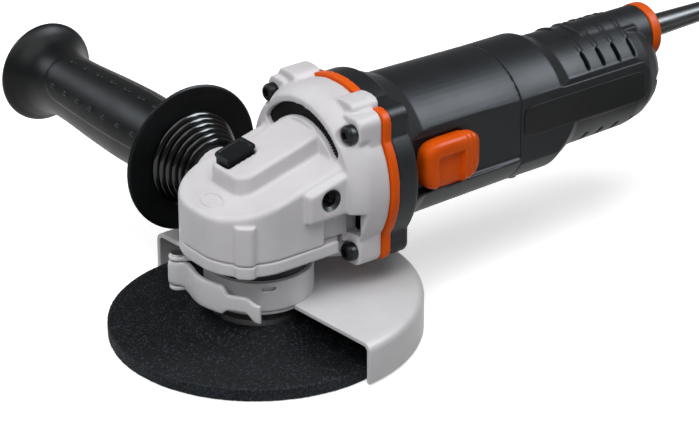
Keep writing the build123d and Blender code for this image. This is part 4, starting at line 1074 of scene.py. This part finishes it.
@dataclass
class Cord:
    """Mains cord: out of the cover, down to the floor and into its tied coil, with the plug at the end."""

    diameter: float = 0.007
    length: float = 2.095
    coil_centre: Pair = (0.287, -0.066)
    coil_r: float = 0.0555
    pitch: float = 0.0077
    turns: float = 7.25
    low: float = 0.0051
    tail: float = 0.025
    per_turn: int = 16
    route: list = field(default_factory=lambda: [
        (0.252, 0.0, 0.0803),
        (0.278, 0.0, 0.0803),
        (0.306, -0.001, 0.072),
        (0.327, -0.003, 0.0545),
        (0.3385, -0.008, 0.032),
        (0.342, -0.022, 0.0145),
        (0.34305, -0.041, 0.0051),
    ])

    def coil(self) -> np.ndarray:
        """Points of the coil: a spiral in, a climb of one layer in half a turn, and a spiral out."""
        turn = np.arange(0, self.turns + 1e-9, 1 / self.per_turn)
        half = (self.turns - 0.5) / 2
        inner = self.coil_r - self.pitch * half
        f = np.clip(turn - half, 0, 0.5)
        climb = inner - self.pitch * f + 2 * self.pitch * f**2
        radius = np.where(turn <= half, self.coil_r - self.pitch * turn, climb)
        radius = np.where(turn >= half + 0.5, inner + self.pitch * (turn - half - 0.5), radius)
        z = self.low + self.pitch * (0.5 - 0.5 * np.cos(2 * np.pi * f))
        angle = -2 * np.pi * turn
        x = self.coil_centre[0] + radius * np.cos(angle)
        return np.stack([x, self.coil_centre[1] + radius * np.sin(angle), z], axis=1)

    def build(self) -> None:
        """Makes the cord as one spline and dresses it, hiding the solid cord and coil."""
        coil = self.coil()
        way = coil[-1] - coil[-2]
        way[2] = 0.0
        end = coil[-1] + way / np.linalg.norm(way) * self.tail
        points = np.concatenate([np.array(self.route), coil, [end]])
        curve = bpy.data.curves.new("mains_lead", "CURVE")
        curve.dimensions = "3D"
        spline = curve.splines.new("NURBS")
        spline.points.add(len(points) - 1)
        spline.points.foreach_set("co", np.concatenate([points, np.ones((len(points), 1))], axis=1).ravel())
        spline.order_u = 3
        spline.use_endpoint_u = True
        spline.resolution_u = 6
        curve.bevel_depth = self.diameter / 2
        curve.bevel_resolution = 5
        curve.use_fill_caps = True
        lead = bpy.data.objects.new("mains_lead", curve)
        bpy.context.scene.collection.objects.link(lead)
        dress(lead, "cord_rubber", "housing", "mains_cord", "cord_coil")


@dataclass
class Studio:
    """Pale floor, soft lights and the camera at the photograph's place."""

    camera_at: Triple = (-0.5774, -0.8161, 0.5407)
    right: Triple = (0.7944, -0.6074, 0.0)
    up: Triple = (0.2672, 0.3495, 0.8980)
    back: Triple = (-0.5455, -0.7134, 0.4399)
    lens: float = 141.8
    sensor: float = 36.0

    def build(self) -> None:
        """Makes the stage."""
        self.camera()
        self.floor()
        self.light("overhead", (-0.2, -0.35, 1.3), (0.1, 0.0, 0.05), 1.2, 15.0)
        self.light("front_left", (-0.95, -0.3, 1.05), (0.0, 0.0, 0.05), 0.7, 5.0)
        self.sheen("flank_sheen", (0.82, -0.58, 1.0), (0.1, 0.0, 0.07), 0.75, 50.0)
        self.sheen("handle_sheen", (-0.5, 1.0, 0.85), (0.0, 0.1, 0.06), 0.6, 10.0)
        scene = bpy.context.scene
        scene.view_settings.view_transform = "Standard"
        world = bpy.data.worlds.new("studio")
        world.use_nodes = True
        backdrop = world.node_tree.nodes["Background"]
        backdrop.inputs["Color"].default_value = linear("#FFFFFF")
        backdrop.inputs["Strength"].default_value = 0.30
        scene.world = world

    def camera(self) -> None:
        """Camera that looks along minus back, with right and up across the picture."""
        lens = bpy.data.cameras.new("photo_camera")
        lens.lens, lens.sensor_width, lens.sensor_fit = self.lens, self.sensor, "HORIZONTAL"
        lens.clip_start, lens.clip_end = 0.01, 20.0
        camera = bpy.data.objects.new("photo_camera", lens)
        turn = Matrix((self.right, self.up, self.back)).transposed().to_4x4()
        camera.matrix_world = Matrix.Translation(self.camera_at) @ turn
        bpy.context.scene.collection.objects.link(camera)
        bpy.context.scene.camera = camera

    def floor(self) -> None:
        """Wide pale floor at the disc's underside."""
        half = 6000.0
        corners = np.array([(-half, -half, 0), (half, -half, 0), (half, half, 0), (-half, half, 0)])
        floor = mesh_object("studio_floor", corners, [[0, 1, 2, 3]])
        shader = Shader("studio_paper")
        paper = {"Base Color": linear("#FBFBFB"), "Roughness": 0.9, "Specular IOR Level": 0.0}
        paper |= {"Emission Color": linear("#FFFFFF"), "Emission Strength": 0.5}
        floor.data.materials.append(shader.finish(paper, {}))
        floor.visible_diffuse = False

    def sheen(self, name: str, place: tuple, target: tuple, size: float, power: float) -> None:
        """Cool reflector that shows only as a highlight on shiny surfaces."""
        piece = self.light(name, place, target, size, power)
        piece.data.color = linear("#EEF6FF")[:3]
        piece.visible_diffuse = False

    def light(self, name: str, place: tuple, target: tuple, size: float, power: float) -> Piece:
        """Square soft light at a place, facing a target."""
        lamp = bpy.data.lights.new(name, "AREA")
        lamp.size, lamp.energy = size, power
        piece = bpy.data.objects.new(name, lamp)
        piece.location = place
        aim = Vector(target) - Vector(place)
        piece.rotation_euler = aim.to_track_quat("-Z", "Y").to_euler()
        bpy.context.scene.collection.objects.link(piece)
        return piece


def dress_solids() -> None:
    """Gives every solid of the frame the finish of its slot."""
    slots = {part["node"]: part["material_slot"] for part in frame["record"]["subparts"]}
    for name, node in frame["nodes"].items():
        node.data.materials.clear()
        node.data.materials.append(MATERIALS[slots[name]])


def main() -> None:
    """Dresses the frame's solids, builds the stage and the cord, then the grinder's pieces in order."""
    logging.basicConfig(level=logging.INFO)
    dress_solids()
    Studio().build()
    Cord().build()
    for part in (GearHead(), MotorHousing(), RearCover(), SideHandle(), WheelGuard(), Disc()):
        part.build()


if __name__ == "__main__":
    main()
